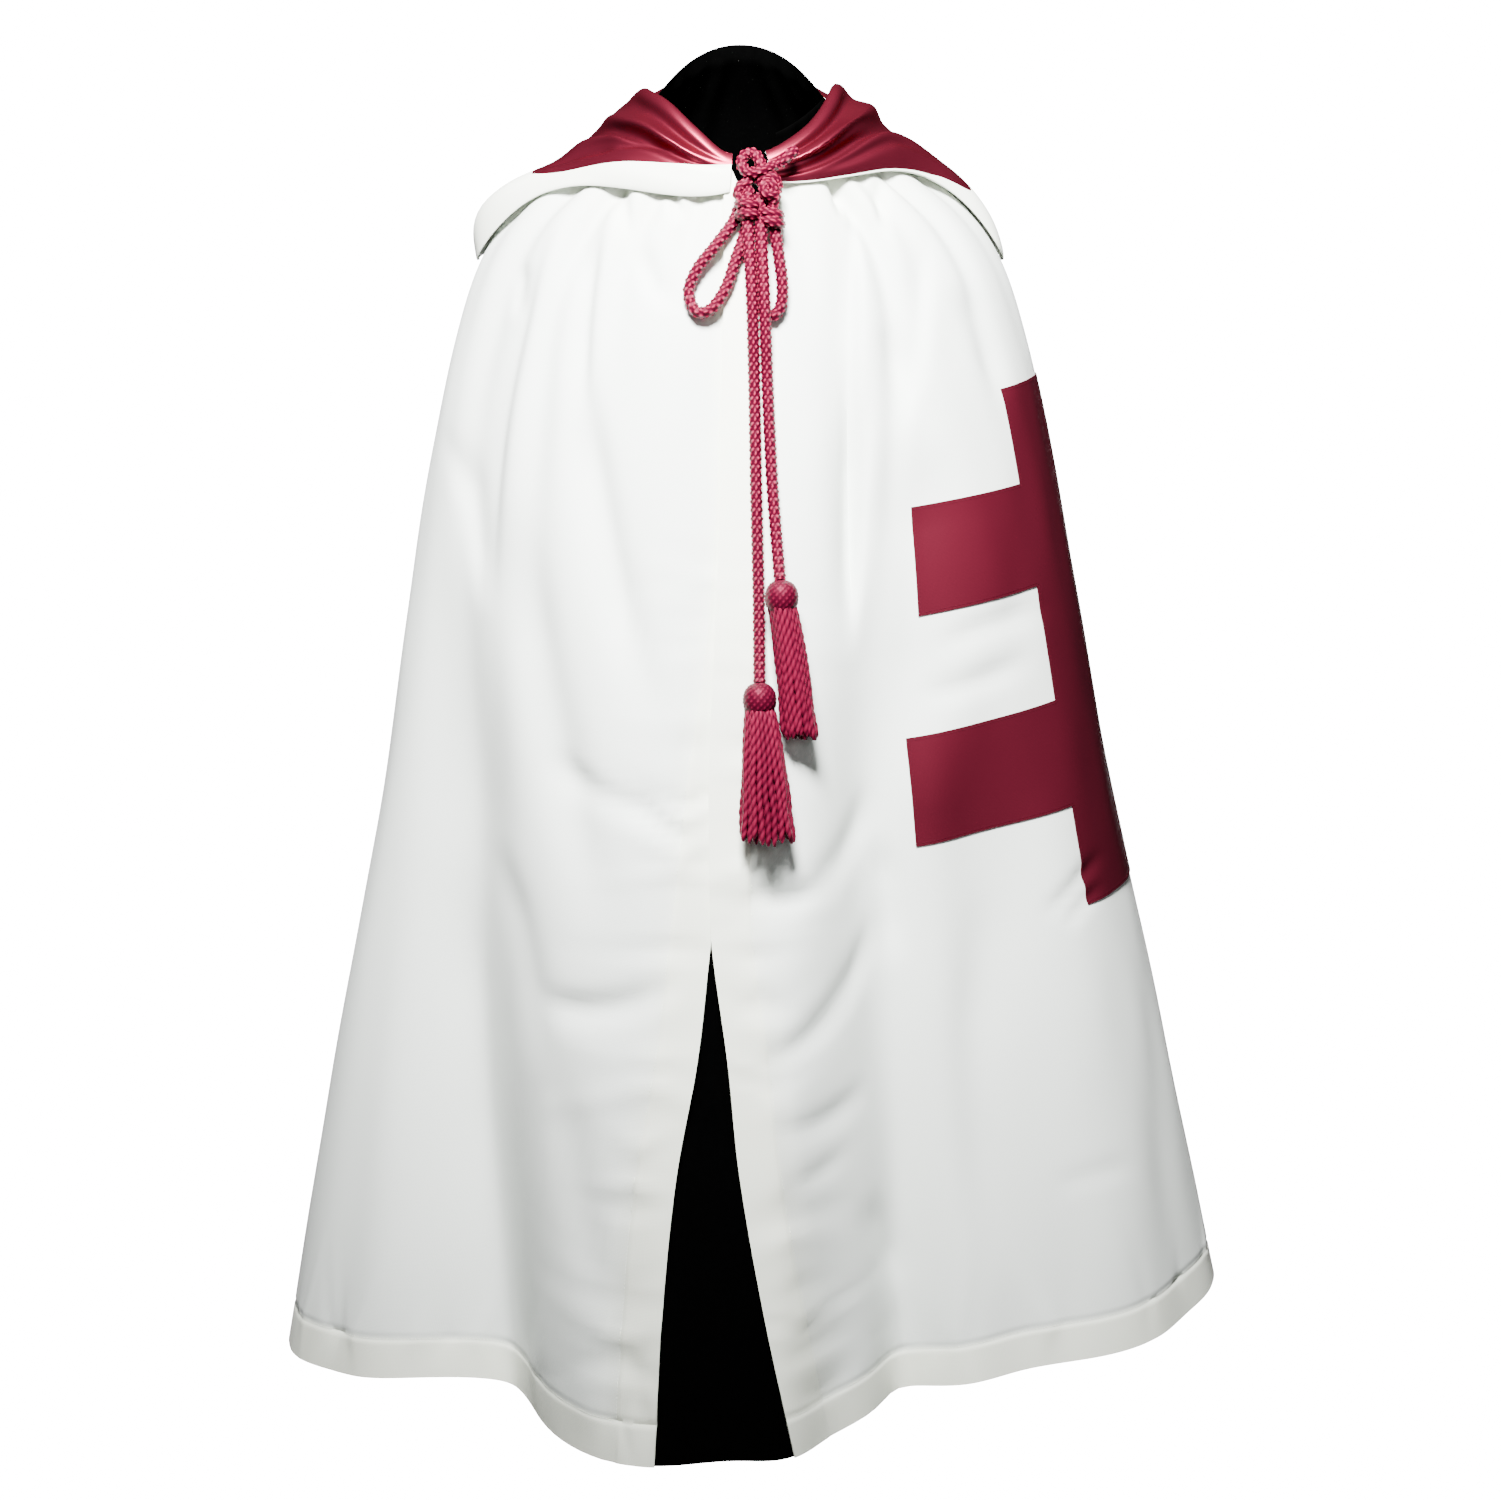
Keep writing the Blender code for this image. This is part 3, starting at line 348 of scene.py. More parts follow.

# Black facing inside the neck, and the black panel behind the slit: black sheets of painted shade for the
# dark hollow inside
NECK_RISE, NECK_LIP = -0.012, 0.006
NECK_FRONT_FOOT, NECK_FOOT = 0.030, 0.16
NECK_FIRST, NECK_LAST = 24.0, 180.0
NECK_WIDENS = (70.0, 110.0)
NECK_BEHIND = 0.0015
NECK_COLUMNS, NECK_ROWS = 180, 40
PANEL_COLUMNS, PANEL_ROWS = 40, 60
UNDERLAP_TOP = 0.590
UNDERLAP_MARGIN = 0.022
PANEL_CLEAR = 0.0070

# Cord routes lying on the front: across, up, out from the cloth
NEAR_LIFT, FAR_LIFT = 0.0062, 0.0188
LOOP_RIGHT = (
    (0.0045, -0.0770, 0.0120), (-0.0008, -0.0880, 0.0075), (-0.0062, -0.1000, 0.0075),
    (-0.0200, -0.1180, 0.0085),
    (-0.0350, -0.1370, 0.0080), (-0.0425, -0.1560, NEAR_LIFT), (-0.0365, -0.1720, NEAR_LIFT),
    (-0.0235, -0.1700, 0.0070), (-0.0110, -0.1520, 0.0075), (-0.0030, -0.1290, 0.0075),
    (0.0045, -0.1080, 0.0075), (0.0085, -0.0880, 0.0075), (0.0095, -0.0770, 0.0110),
)
LOOP_LEFT = (
    (0.0262, -0.0760, 0.0190), (0.0285, -0.0880, FAR_LIFT), (0.0305, -0.1080, 0.0165),
    (0.0335, -0.1290, 0.0145),
    (0.0360, -0.1500, 0.0120), (0.0345, -0.1680, 0.0085), (0.0265, -0.1765, NEAR_LIFT),
    (0.0190, -0.1650, 0.0058), (0.0165, -0.1450, 0.0058), (0.0180, -0.1200, 0.0058),
    (0.0200, -0.0880, 0.0075), (0.0205, -0.0780, 0.0100),
)
TAIL_RIGHT = (
    (0.0075, -0.0760, 0.0180), (0.0064, -0.0880, FAR_LIFT), (0.0085, -0.1250, 0.0192),
    (0.0105, -0.1600, 0.0180),
    (0.0115, -0.1950, 0.0120), (0.0125, -0.2350, 0.0064), (0.0140, -0.3200, 0.0058),
    (0.0160, -0.4000, 0.0062), (0.0166, -0.4500, 0.0105), (0.0168, -0.4760, 0.0165),
)
TAIL_LEFT = (
    (0.0172, -0.0760, 0.0165), (0.0172, -0.0880, FAR_LIFT), (0.0190, -0.1250, 0.0192),
    (0.0208, -0.1600, 0.0180),
    (0.0222, -0.1950, 0.0128), (0.0236, -0.2350, 0.0064), (0.0272, -0.3100, 0.0066),
    (0.0315, -0.3640, 0.0120), (0.0340, -0.3920, 0.0190),
)
CORD_NECK = (
    (0.0337, -0.0504, 0.0268), (0.0400, -0.0442, 0.0290), (0.0470, -0.0390, 0.0290),
)
CORD_DIAMETER = 0.010
BRAID_STRANDS = 6
BRAID_PITCH = 0.0036
BRAID_DEPTH, BRAID_MIDDLE = 0.0012, 0.55
BRAID_ONE, BRAID_TWO = 0.7, 1.3
SMOOTH_ANGLE = 50.0
# Steps along a cord: built, at the tassels, and as stated
CORD_STEP, TASSEL_STEP, FACT_STEP = 0.0008, 0.0010, 0.004

# Turns of cord that make the knot: across, up, out from the cloth
KNOT_RING = (
    (0.0225, -0.0625, 0.0190), (0.0185, -0.0520, 0.0205), (0.0135, -0.0430, 0.0190),
    (0.0060, -0.0425, 0.0170),
    (0.0018, -0.0490, 0.0165), (0.0050, -0.0560, 0.0190), (0.0125, -0.0575, 0.0225),
    (0.0205, -0.0550, 0.0250),
    (0.0285, -0.0520, 0.0260), (0.0345, -0.0500, 0.0255),
)
KNOT_RIGHT = (
    (0.0160, -0.0690, 0.0130), (0.0195, -0.0620, 0.0200), (0.0270, -0.0610, 0.0245),
    (0.0320, -0.0680, 0.0230),
    (0.0290, -0.0750, 0.0265), (0.0215, -0.0740, 0.0275), (0.0215, -0.0670, 0.0270),
    (0.0275, -0.0680, 0.0285),
    (0.0300, -0.0790, 0.0240), (0.0255, -0.0840, 0.0190),
)
KNOT_LEFT = (
    (0.0110, -0.0620, 0.0120), (0.0060, -0.0660, 0.0160), (0.0005, -0.0700, 0.0150),
    (-0.0010, -0.0755, 0.0140),
    (0.0030, -0.0790, 0.0150), (0.0075, -0.0760, 0.0160), (0.0080, -0.0690, 0.0150),
)
KNOT_WRAPS = (
    ((-0.0010, -0.0850, 0.0110), (0.0015, -0.0835, 0.0205), (0.0070, -0.0830, 0.0255),
     (0.0125, -0.0845, 0.0230),
     (0.0150, -0.0860, 0.0130)),
    ((-0.0005, -0.0930, 0.0110), (0.0010, -0.0920, 0.0200), (0.0065, -0.0905, 0.0262),
     (0.0125, -0.0920, 0.0240),
     (0.0150, -0.0935, 0.0130)),
    ((0.0180, -0.0905, 0.0120), (0.0195, -0.0895, 0.0210), (0.0262, -0.0905, 0.0265),
     (0.0325, -0.0930, 0.0230),
     (0.0335, -0.0935, 0.0120)),
    ((0.0190, -0.0975, 0.0120), (0.0205, -0.0965, 0.0210), (0.0275, -0.0975, 0.0262),
     (0.0335, -0.1000, 0.0225),
     (0.0342, -0.1005, 0.0120)),
)
KNOT_RADIUS = 0.0047

# Tassels: wound head and skirt of twisted strands
HEAD_RADIUS, HEAD_TALL = 0.0140, 0.0145
TASSEL_GAP = 0.0004
SKIRT_LENGTH = 0.104
SKIRT_FLAT = 0.55
TASSEL_CLEAR = 0.005
STRAND_RADIUS = 0.0027
STRAND_TWIST = 0.0085
STRAND_ROOT = 0.0100
OUTER_SHARE, INNER_SPREAD = 0.62, 0.52
STRAND_SEED = 31
STRAND_WAVE = 0.0009
PLY_LOW, PLY_RISE = 0.66, 0.34
HEAD_STITCHES, HEAD_PITCH = 15, 0.0030
HEAD_OPENING = 0.45
# Columns: name, route, foot of the skirt away from its head across, half width of the skirt
TASSELS = (
    ("tassel_right", TAIL_RIGHT, 0.0070, 0.0245),
    ("tassel_left", TAIL_LEFT, 0.0155, 0.0160),
)

# Mean distances out from the middle, for the cloth maps, and the pitch of one wave at scale 1
BODY_MAP, NECK_MAP, PANEL_MAP, CROSS_MAP, HOOD_MAP = 0.33, 0.10, 0.30, 0.28, 0.16
WAVE_PITCH = 0.314
# Small steps for normals, and the search for a place on the front
TURN_STEP, DROP_STEP, LEAST_DROP = 0.4, 0.004, -0.03
SEARCH_STEPS, SEARCH_FALL = 16, 1.1
# Columns: mark and the cells up to it, across and down each half
BODY_SHARES = ((0.0, 0), (1.0, 22), (1.08, 8), (1.58, 112), (2.0, 58))
BODY_DROPS = ((0.0, 0), (0.10, 24), (0.955, 138), (HEM_DROP, 5), (0.976, 3), (1.0, 8))

# Camera and stage
CAMERA_AIM = Vector((0.0093, 0.0, -0.57))
CAMERA_FAR, CAMERA_PITCH, CAMERA_LENS = 3.6, 9.7, 97.01
CAMERA_SENSOR, CAMERA_CLIP = 36.0, 60.0
FLOOR_Z = -1.42
# Columns: y, z, half width of the floor and of the lit paper sweep behind the mantle
FLOOR_ROWS = ((-8.0, FLOOR_Z - 0.002, 8.0), (8.0, FLOOR_Z - 0.002, 8.0))
BACKDROP_ROWS = (
    (0.36, FLOOR_Z, 0.80), (2.0, FLOOR_Z, 1.13), (4.0, FLOOR_Z, 1.54), (5.4, -1.30, 1.83), (6.4, -0.90, 2.04),
    (7.0, -0.20, 2.16), (7.3, 0.4, 2.22), (7.4, 1.0, 2.26),
)
FLOOR_GLOW, BACKDROP_GLOW = 1.6, 18.0
FLOOR_CELLS, FLOOR_DIM = 24, 0.15
WORLD_LIGHT, WORLD_SEEN = 0.10, 16.0
WORLD_TINT = (0.97, 0.985, 1.0, 1.0)
OVERHEAD, OVERHEAD_TILT, OVERHEAD_SOFT = 0.2, -25.0, 60.0
OVERHEAD_PLACE = (0.0, 0.0, 4.0)
KEY_PLACE, KEY_AIM = Vector((-0.10, -1.15, 0.95)), Vector((0.0, -0.12, -0.19))
KEY_WATTS, KEY_BEAM, KEY_RADIUS = 1300.0, 51.0, 0.25
LAMP_AIM = Vector((0.0, 0.0, -0.45))
# Columns: name, place, watts, size
LAMPS = (
    ("front", (0.40, -3.00, 0.40), 12.0, 1.2),
    ("rear", (0.50, 2.60, -0.75), 45.0, 1.2),
)


class MantleSizes(bpy.types.PropertyGroup):
    """Sizes of the cloth, cord and grids."""
    body_wall: FloatProperty(name="Body wall", description="Thickness of the body cloth",
                             default=0.0013, unit='LENGTH')
    hood_wall: FloatProperty(name="Hood wall", description="Thickness of the hood's cloth",
                             default=0.0010, unit='LENGTH')
    lining_wall: FloatProperty(name="Lining wall", description="Thickness of linings and of the cross",
                               default=0.0008, unit='LENGTH')
    seam_gap: FloatProperty(name="Seam gap", description="Clearance between two layers of cloth",
                            default=0.0003, unit='LENGTH')
    slack: FloatProperty(name="Slack", description="Height of the cloth's faint uneven waves",
                         default=0.0008, unit='LENGTH')
    stitch_pitch: FloatProperty(name="Stitch pitch", description="Length of one sewn stitch with its gap",
                                default=0.0032, unit='LENGTH')
    strands: IntProperty(name="Strands", description="Twisted strands in each tassel",
                         default=34, min=8, max=60)


class MantleColours(bpy.types.PropertyGroup):
    """Base colours of the cloths, cord and stage."""
    # The cream's slight green tint is painted shade colour, standing for the greenish cast of the cloth in
    # shade
    cream: FloatVectorProperty(name="Cream", description="Body cloth where it lies single", subtype='COLOR',
                               default=(0.768, 0.81, 0.766))
    # The doubled cream also serves as painted warm light on the cloth near the neck
    doubled_and_lit_neck: FloatVectorProperty(name="Doubled cream", description="Body cloth where it lies double",
                                 subtype='COLOR', default=(0.835, 0.865, 0.750))
    satin: FloatVectorProperty(name="Satin", description="Hood lining", subtype='COLOR',
                               default=(0.150, 0.0135, 0.0290))
    cross: FloatVectorProperty(name="Cross", description="Cloth of the cross", subtype='COLOR',
                               default=(0.044, 0.0033, 0.0082))
    # Cord colours: painted shade between the yarns and painted highlight on their crowns, for cord and
    # tassels
    cord_shaded: FloatVectorProperty(name="Cord, deep", description="Cord between its flecks", subtype='COLOR',
                                   default=(0.030, 0.0004, 0.0056))
    cord_lit: FloatVectorProperty(name="Cord, flecks", description="Crowns of the cord's yarns",
                                    subtype='COLOR', default=(0.215, 0.0120, 0.0370))
    # Black of the neck facings and slit panel: painted shade for the dark hollow inside
    hollow_shade: FloatVectorProperty(name="Black", description="Cloth inside the neck and slit", subtype='COLOR',
                               default=(0.0004, 0.0004, 0.0004))
    # Painted highlight colour on the crowns of the tassels' strands
    tassel: FloatVectorProperty(name="Tassel", description="Crowns of the tassels' strands", subtype='COLOR',
                                default=(0.112, 0.0042, 0.0200))
    floor: FloatVectorProperty(name="Floor", description="Pale studio floor", subtype='COLOR',
                               default=(0.80, 0.80, 0.79))


def smooth_step(low, high, value):
    """Ease from 0 to 1 between two values."""
    t = np.clip((value - low) / (high - low), 0.0, 1.0)
    return t * t * (3.0 - 2.0 * t)


def read_table(rows, column, at):
    """Smooth value of one column of a table at places in its first column."""
    at = np.asarray(at, dtype=float)
    last = len(rows) - 1
    i = np.clip(np.searchsorted(rows[:, 0], at, side='left') - 1, 0, last - 1)
    before, after = np.maximum(i - 1, 0), np.minimum(i + 2, last)
    place, value = rows[:, 0], rows[:, column]
    span = place[i + 1] - place[i]
    t = (at - place[i]) / span
    slope_low = (value[i + 1] - value[before]) / (place[i + 1] - place[before]) * span
    slope_high = (value[after] - value[i]) / (place[after] - place[i]) * span
    rise = value[i + 1] - value[i]
    curve = 3.0 * rise - 2.0 * slope_low - slope_high
    bend = slope_low + slope_high - 2.0 * rise
    return value[i] + t * (slope_low + t * (curve + t * bend))


def unit(vectors):
    """Vectors of length one."""
    return vectors / np.maximum(np.linalg.norm(vectors, axis=-1, keepdims=True), 1e-12)


def run_along(points):
    """Length of a line of points up to each of them."""
    return np.concatenate(([0.0], np.cumsum(np.linalg.norm(np.diff(points, axis=0), axis=1))))


def base_point(turn, drop):
    """Body without folds: an oval at each drop, lower or higher at front, sides and back."""
    angle = np.radians(turn)
    ahead = np.cos(angle)
    front = ahead >= 0.0
    side_z = read_table(SECTIONS, SIDE_Z, drop)
    end_z = np.where(front, read_table(SECTIONS, FRONT_Z, drop), read_table(SECTIONS, BACK_Z, drop))
    out = np.where(front, read_table(SECTIONS, FRONT_OUT, drop), read_table(SECTIONS, BACK_OUT, drop))
    x = read_table(SECTIONS, SIDE_OUT, drop) * np.sin(angle) + HEM_LEAN * drop * drop
    tilt = HEM_TILT * np.sin(angle) * drop * np.abs(drop)
    return np.stack((x, -out * ahead, side_z + (end_z - side_z) * ahead * ahead + tilt), axis=-1)


def normal_of(place, turn, drop):
    """Unit normal of a surface by small steps in both directions."""
    across = place(turn + TURN_STEP, drop) - place(turn - TURN_STEP, drop)
    low, high = np.minimum(drop + DROP_STEP, 1.0), np.maximum(drop - DROP_STEP, LEAST_DROP)
    down = place(turn, low) - place(turn, high)
    return unit(np.cross(down, across))


def turn_between(turn, centre):
    """Signed degrees from a centre, the short way round."""
    return (turn - centre + 180.0) % 360.0 - 180.0


def fold_depth(turn, drop):
    """Depth of all folds and gathers at a place, and how far they lift the hem."""
    depth = 0.0
    rise = 0.0
    for turn_start, turn_hem, spread, start, deep, hem_rise in FOLDS:
        open_by = smooth_step(start, start + FOLD_OPENING, drop)
        centre = turn_start + (turn_hem - turn_start) * smooth_step(start, 1.0, drop)
        swell = np.exp(-(turn_between(turn, centre) / spread) ** 2)
        depth = depth + deep * swell * open_by * (FOLD_HEAD + (1.0 - FOLD_HEAD) * drop)
        rise = rise + hem_rise * swell * open_by * drop * drop
    for turn_neck, turn_end, spread_neck, spread_end, reach, deep in GATHERS:
        along = np.minimum(drop / reach, 1.0)
        centre = turn_neck + (turn_end - turn_neck) * along
        spread = spread_neck + (spread_end - spread_neck) * along
        swell = np.exp(-(turn_between(turn, centre) / spread) ** 2)
        head = GATHER_AT_SEAM + (1.0 - GATHER_AT_SEAM) * smooth_step(0.0, GATHER_HEAD, drop)
        depth = depth + deep * swell * head * (1.0 - smooth_step(GATHER_HOLD * reach, reach, drop))
    return depth, rise


def crease_depth(x, z, rows):
    """Depth of the listed creases, each along a bowed line with its own two widths."""
    depth = 0.0
    for x0, z0, x1, z1, bow, left, right, deep in rows:
        length = np.hypot(x1 - x0, z1 - z0)
        ux, uz = (x1 - x0) / length, (z1 - z0) / length
        t = ((x - x0) * ux + (z - z0) * uz) / length
        away = -(x - x0) * uz + (z - z0) * ux
        away = away - bow * 4.0 * t * (1.0 - t)
        width = np.where(away < 0.0, left, right)
        ends = smooth_step(*CREASE_HEAD, t) * (1.0 - smooth_step(*CREASE_END, t))
        depth = depth + deep * np.exp(-(away / width) ** 2) * ends
    return depth


def pucker_rows(count, seed):
    """Places, reaches and heights of small puckers along a sewn line."""
    rng = np.random.default_rng(seed)
    place = np.sort(rng.uniform(0.0, 1.0, count))
    return np.stack((
        place, rng.uniform(0.004, 0.010, count), rng.uniform(0.012, 0.046, count),
        rng.uniform(-0.5, 0.5, count), rng.uniform(0.0012, 0.0048, count) * rng.choice((-1.0, 1.0), count),
    ), axis=-1)


LEFT_PUCKERS = pucker_rows(FACING_PUCKERS, PUCKER_SEED)
RIGHT_PUCKERS = pucker_rows(FACING_PUCKERS, PUCKER_SEED + 1)
HEM_ROWS = pucker_rows(HEM_PUCKERS, PUCKER_SEED + 2)


def sewn_depth(turn, drop, x, right_half):
    """Dent of the facing's and hem's stitch lines, with the puckers that they draw up."""
    column = UNDER_X if right_half else OVER_X
    edge = read_table(FRONT_EDGES, column, drop)
    inward = (edge - x) if right_half else (x - edge)
    from_line = inward - FACING_WIDTH
    near = (np.abs(from_line) < NEAR_STITCHES) & (np.abs(turn) < FACING_TURN)
    depth = np.where(near, STITCH_DEPTH * np.exp(-(from_line / STITCH_SPREAD) ** 2), 0.0)
    strength = smooth_step(*PUCKER_GROWS, drop)
    pull = np.zeros_like(depth)
    for place, tall, reach, slant, high in RIGHT_PUCKERS if right_half else LEFT_PUCKERS:
        along = (drop - (FACING_TOP + FACING_SPAN * place)) * CLOTH_LENGTH - slant * np.abs(from_line)
        beyond = np.exp(from_line / (FACING_FADE * reach))
        fade = np.where(from_line > 0.0, np.exp(-from_line / reach), beyond)
        pull = pull + high * np.exp(-(along / tall) ** 2) * fade
    depth = depth + np.where(near, PUCKER_MOST * np.tanh(pull / PUCKER_MOST) * strength, 0.0)
    above = (HEM_DROP - drop) * CLOTH_LENGTH
    depth = depth + STITCH_DEPTH * np.exp(-(above / STITCH_SPREAD) ** 2)
    low = above < NEAR_STITCHES
    pull = np.zeros_like(depth)
    for place, wide, reach, slant, high in HEM_ROWS:
        round_by = np.radians(turn_between(turn, place * 360.0)) * HEM_OUT - slant * np.abs(above)
        fade = np.where(above > 0.0, np.exp(-above / reach), np.exp(above / (HEM_FADE * reach)))
        pull = pull + HEM_HIGH * high * np.exp(-(round_by / (HEM_WIDE * wide)) ** 2) * fade
    depth = depth + SEAM_DEPTH * np.exp(-((180.0 - np.abs(turn)) / SEAM_SPREAD) ** 2)
    return depth + np.where(low, PUCKER_MOST * np.tanh(pull / PUCKER_MOST), 0.0)


def slack_depth(turn, drop, height):
    """Faint uneven waves, longer down the cloth than across it."""
    a = np.radians(turn)
    waves = np.sin(9.0 * a + 5.0 * drop + 0.7) * np.sin(11.0 * drop + 1.3 * np.sin(3.0 * a))
    waves = waves + 0.6 * np.sin(17.0 * a - 7.0 * drop + 2.1) * np.sin(19.0 * drop + 4.0 * a)
    waves = waves + 0.4 * np.sin(29.0 * a + 13.0 * drop) * np.sin(31.0 * drop - 6.0 * a + 0.4)
    return height * waves * smooth_step(*SLACK_GROWS, drop)


def lap_fade(drop):
    """The lap runs out below the point where the front edges part."""
    return 1.0 - smooth_step(LAP_FADE_TOP, LAP_FADE_FOOT, drop)


def plain_surface(turn, drop):
    """Outer face with its folds and gathers alone."""
    depth, rise = fold_depth(turn, drop)
    place = base_point(turn, drop) - normal_of(base_point, turn, drop) * depth[..., None]
    place[..., 2] += rise
    return place


def cloth_surface(turn, drop, right_half, slack):
    """Outer face of one half with its folds, creases, puckers and lap."""
    depth, rise = fold_depth(turn, drop)
    base = base_point(turn, drop)
    x, z = base[..., 0], base[..., 2]
    ahead = smooth_step(*FRONT_SHARE, np.cos(np.radians(turn)))
    depth = depth + crease_depth(x, z, FRONT_CREASES) * ahead
    depth = depth + crease_depth(x, z, BACK_CREASES) * (1.0 - ahead)
    depth = depth + sewn_depth(turn, drop, x, right_half) + slack_depth(turn, drop, slack)
    if right_half:
        over = read_table(FRONT_EDGES, OVER_X, drop)
        step = LAP_STEP * smooth_step(over - LAP_EASE_FAR, over - LAP_EASE_NEAR, x) * lap_fade(drop)
        depth = depth + np.where(np.abs(turn) < LAP_TURN, step, 0.0)
    place = base - normal_of(base_point, turn, drop) * depth[..., None]
    place[..., 2] += rise
    return place


def half_surface(right_half, slack):
    """Outer face of one half, as a function of turn and drop."""
    def place(turn, drop):
        return cloth_surface(turn, drop, right_half, slack)

    return place


def turn_at(x, drop):
    """Turn of the front line that lies at a distance across."""
    side = read_table(SECTIONS, SIDE_OUT, drop)
    return np.degrees(np.arcsin((x - HEM_LEAN * drop * drop) / side))


def spaced(marks):
    """Even steps between marks, each with its own number of cells."""
    steps = [np.array([marks[0][0]])]
    for (start, _), (end, cells) in zip(marks, marks[1:]):
        steps.append(start + (end - start) * (np.arange(cells) + 1.0) / cells)
    return np.concatenate(steps)


def body_turns(shares, drop, right_half):
    """Turns of the columns: shares 0 to 1 lie on the facing, 1 to 2 on the rest of the half."""
    edge = read_table(FRONT_EDGES, UNDER_X if right_half else OVER_X, drop)
    inner = edge - FACING_WIDTH if right_half else edge + FACING_WIDTH
    first, line = turn_at(edge, drop), turn_at(inner, drop)
    last = -180.0 if right_half else 180.0
    on_facing = first + (line - first) * np.minimum(shares, 1.0)
    return np.where(shares <= 1.0, on_facing, line + (last - line) * (shares - 1.0))


def notched(turn, drop):
    """Drops moved down where the neckline dips behind the knot."""
    notch = NOTCH_DROP * np.exp(-((turn - NOTCH_TURN) / NOTCH_SPREAD) ** 2)
    return drop + notch * np.clip(1.0 - drop / NOTCH_EASE, 0.0, 1.0)


def front_point(x, z, out):
    """Point in front of the cloth at a place across and up, moved out level."""
    turn, drop = np.zeros(1), np.zeros(1)
    for _ in range(SEARCH_STEPS):
        here = plain_surface(turn, drop)[0]
        drop = np.clip(drop + (here[2] - z) / SEARCH_FALL, 0.0, 1.0)
        turn = turn + np.degrees((x - here[0]) / read_table(SECTIONS, SIDE_OUT, drop))
    return np.array((x, plain_surface(turn, drop)[0][1] - out, z))


def smooth_route(stations, step):
    """Dense even points on a smooth curve through a cord's stations."""
    places = np.array([front_point(*station) for station in stations])
    rows = np.column_stack((np.arange(len(places), dtype=float), places))
    fine = np.linspace(0.0, len(places) - 1.0, 60 * len(places))
    points = np.stack([read_table(rows, axis, fine) for axis in (1, 2, 3)], axis=-1)
    run = run_along(points)
    even = np.linspace(0.0, run[-1], max(int(run[-1] / step), 4))
    return np.stack([np.interp(even, run, points[:, axis]) for axis in range(3)], axis=-1)


def frames_along(route):
    """Two side directions at each point of a route, carried along without twist."""
    ahead = unit(np.gradient(route, axis=0))
    side = np.cross(ahead[0], (0.0, 1.0, 0.0))
    if np.linalg.norm(side) < 0.1:
        side = np.cross(ahead[0], (1.0, 0.0, 0.0))
    sides = []
    for way in ahead:
        side = side - way * np.dot(side, way)
        side = side / np.linalg.norm(side)
        sides.append(side)
    sides = np.array(sides)
    return sides, np.cross(ahead, sides)


def deselect():
    """Leave edit mode with nothing selected."""
    if bpy.context.object and bpy.context.object.mode != 'OBJECT':
        bpy.ops.object.mode_set(mode='OBJECT')
    bpy.ops.object.select_all(action='DESELECT')


def activate(piece):
    """Select one piece alone."""
    deselect()
    piece.select_set(True)
    bpy.context.view_layer.objects.active = piece


def add_grid(name, across, along):
    """New flat grid with the column and row of each of its points."""
    deselect()
    bpy.ops.mesh.primitive_grid_add(x_subdivisions=across, y_subdivisions=along, size=1.0)
    piece = bpy.context.object
    piece.name = name
    piece.data.name = name
    flat = np.empty(len(piece.data.vertices) * 3)
    piece.data.vertices.foreach_get("co", flat)
    flat = flat.reshape(-1, 3)
    i = np.rint((flat[:, 0] + 0.5) * across).astype(int)
    j = np.rint((flat[:, 1] + 0.5) * along).astype(int)
    return piece, i, j


def set_points(piece, points):
    """Move all points of a piece."""
    piece.data.vertices.foreach_set("co", np.ascontiguousarray(points, dtype=float).ravel())
    piece.data.update()


def set_cloth_map(piece, turn, out, along):
    """UV map in metres, from turns at a mean distance out and distances along."""
    across = np.radians(turn) * out
    index = np.empty(len(piece.data.loops), dtype=int)
    piece.data.loops.foreach_get("vertex_index", index)
    flat = np.stack((across[index], along[index]), axis=-1)
    piece.data.uv_layers.active.data.foreach_set("uv", flat.ravel())


def set_attribute(piece, name, values):
    """Number at each point, for a material to read."""
    layer = piece.data.attributes.new(name, 'FLOAT', 'POINT')
    layer.data.foreach_set("value", np.ascontiguousarray(values, dtype=float))


def apply_modifier(piece, kind, **settings):
    """Add a modifier with its settings and apply it."""
    activate(piece)
    modifier = piece.modifiers.new(kind.title(), kind)
    for key, value in settings.items():
        setattr(modifier, key, value)
    bpy.ops.object.modifier_apply(modifier=modifier.name)


def thicken(piece, wall):
    """Give a cloth its wall, inwards from its outer face."""
    apply_modifier(piece, 'SOLIDIFY', thickness=wall, offset=-1.0)


def finish_piece(piece, material, slot, *nodes):
    """Smooth the piece, give it its material, and set it on the frame."""
    activate(piece)
    bpy.ops.object.shade_smooth_by_angle(angle=radians(SMOOTH_ANGLE))
    piece.data.materials.clear()
    piece.data.materials.append(material)
    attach(piece, "root")
    if nodes:
        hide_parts(*nodes)


def close_tube(piece):
    """Join a wrapped grid along its seam and fill its ends."""
    activate(piece)
    bpy.ops.object.mode_set(mode='EDIT')
    bpy.ops.mesh.select_all(action='SELECT')
    bpy.ops.mesh.remove_doubles(threshold=0.000001)
    bpy.ops.mesh.select_all(action='SELECT')
    bpy.ops.mesh.fill_holes(sides=0)
    bpy.ops.mesh.select_all(action='SELECT')
    bpy.ops.mesh.normals_make_consistent(inside=False)
    bpy.ops.object.mode_set(mode='OBJECT')


def join_pieces(name, pieces):
    """Join several meshes into one named piece."""
    deselect()
    for piece in pieces:
        piece.select_set(True)
    bpy.context.view_layer.objects.active = pieces[0]
    bpy.ops.object.join()
    joined = bpy.context.view_layer.objects.active
    joined.name = name
    joined.data.name = name
    return joined


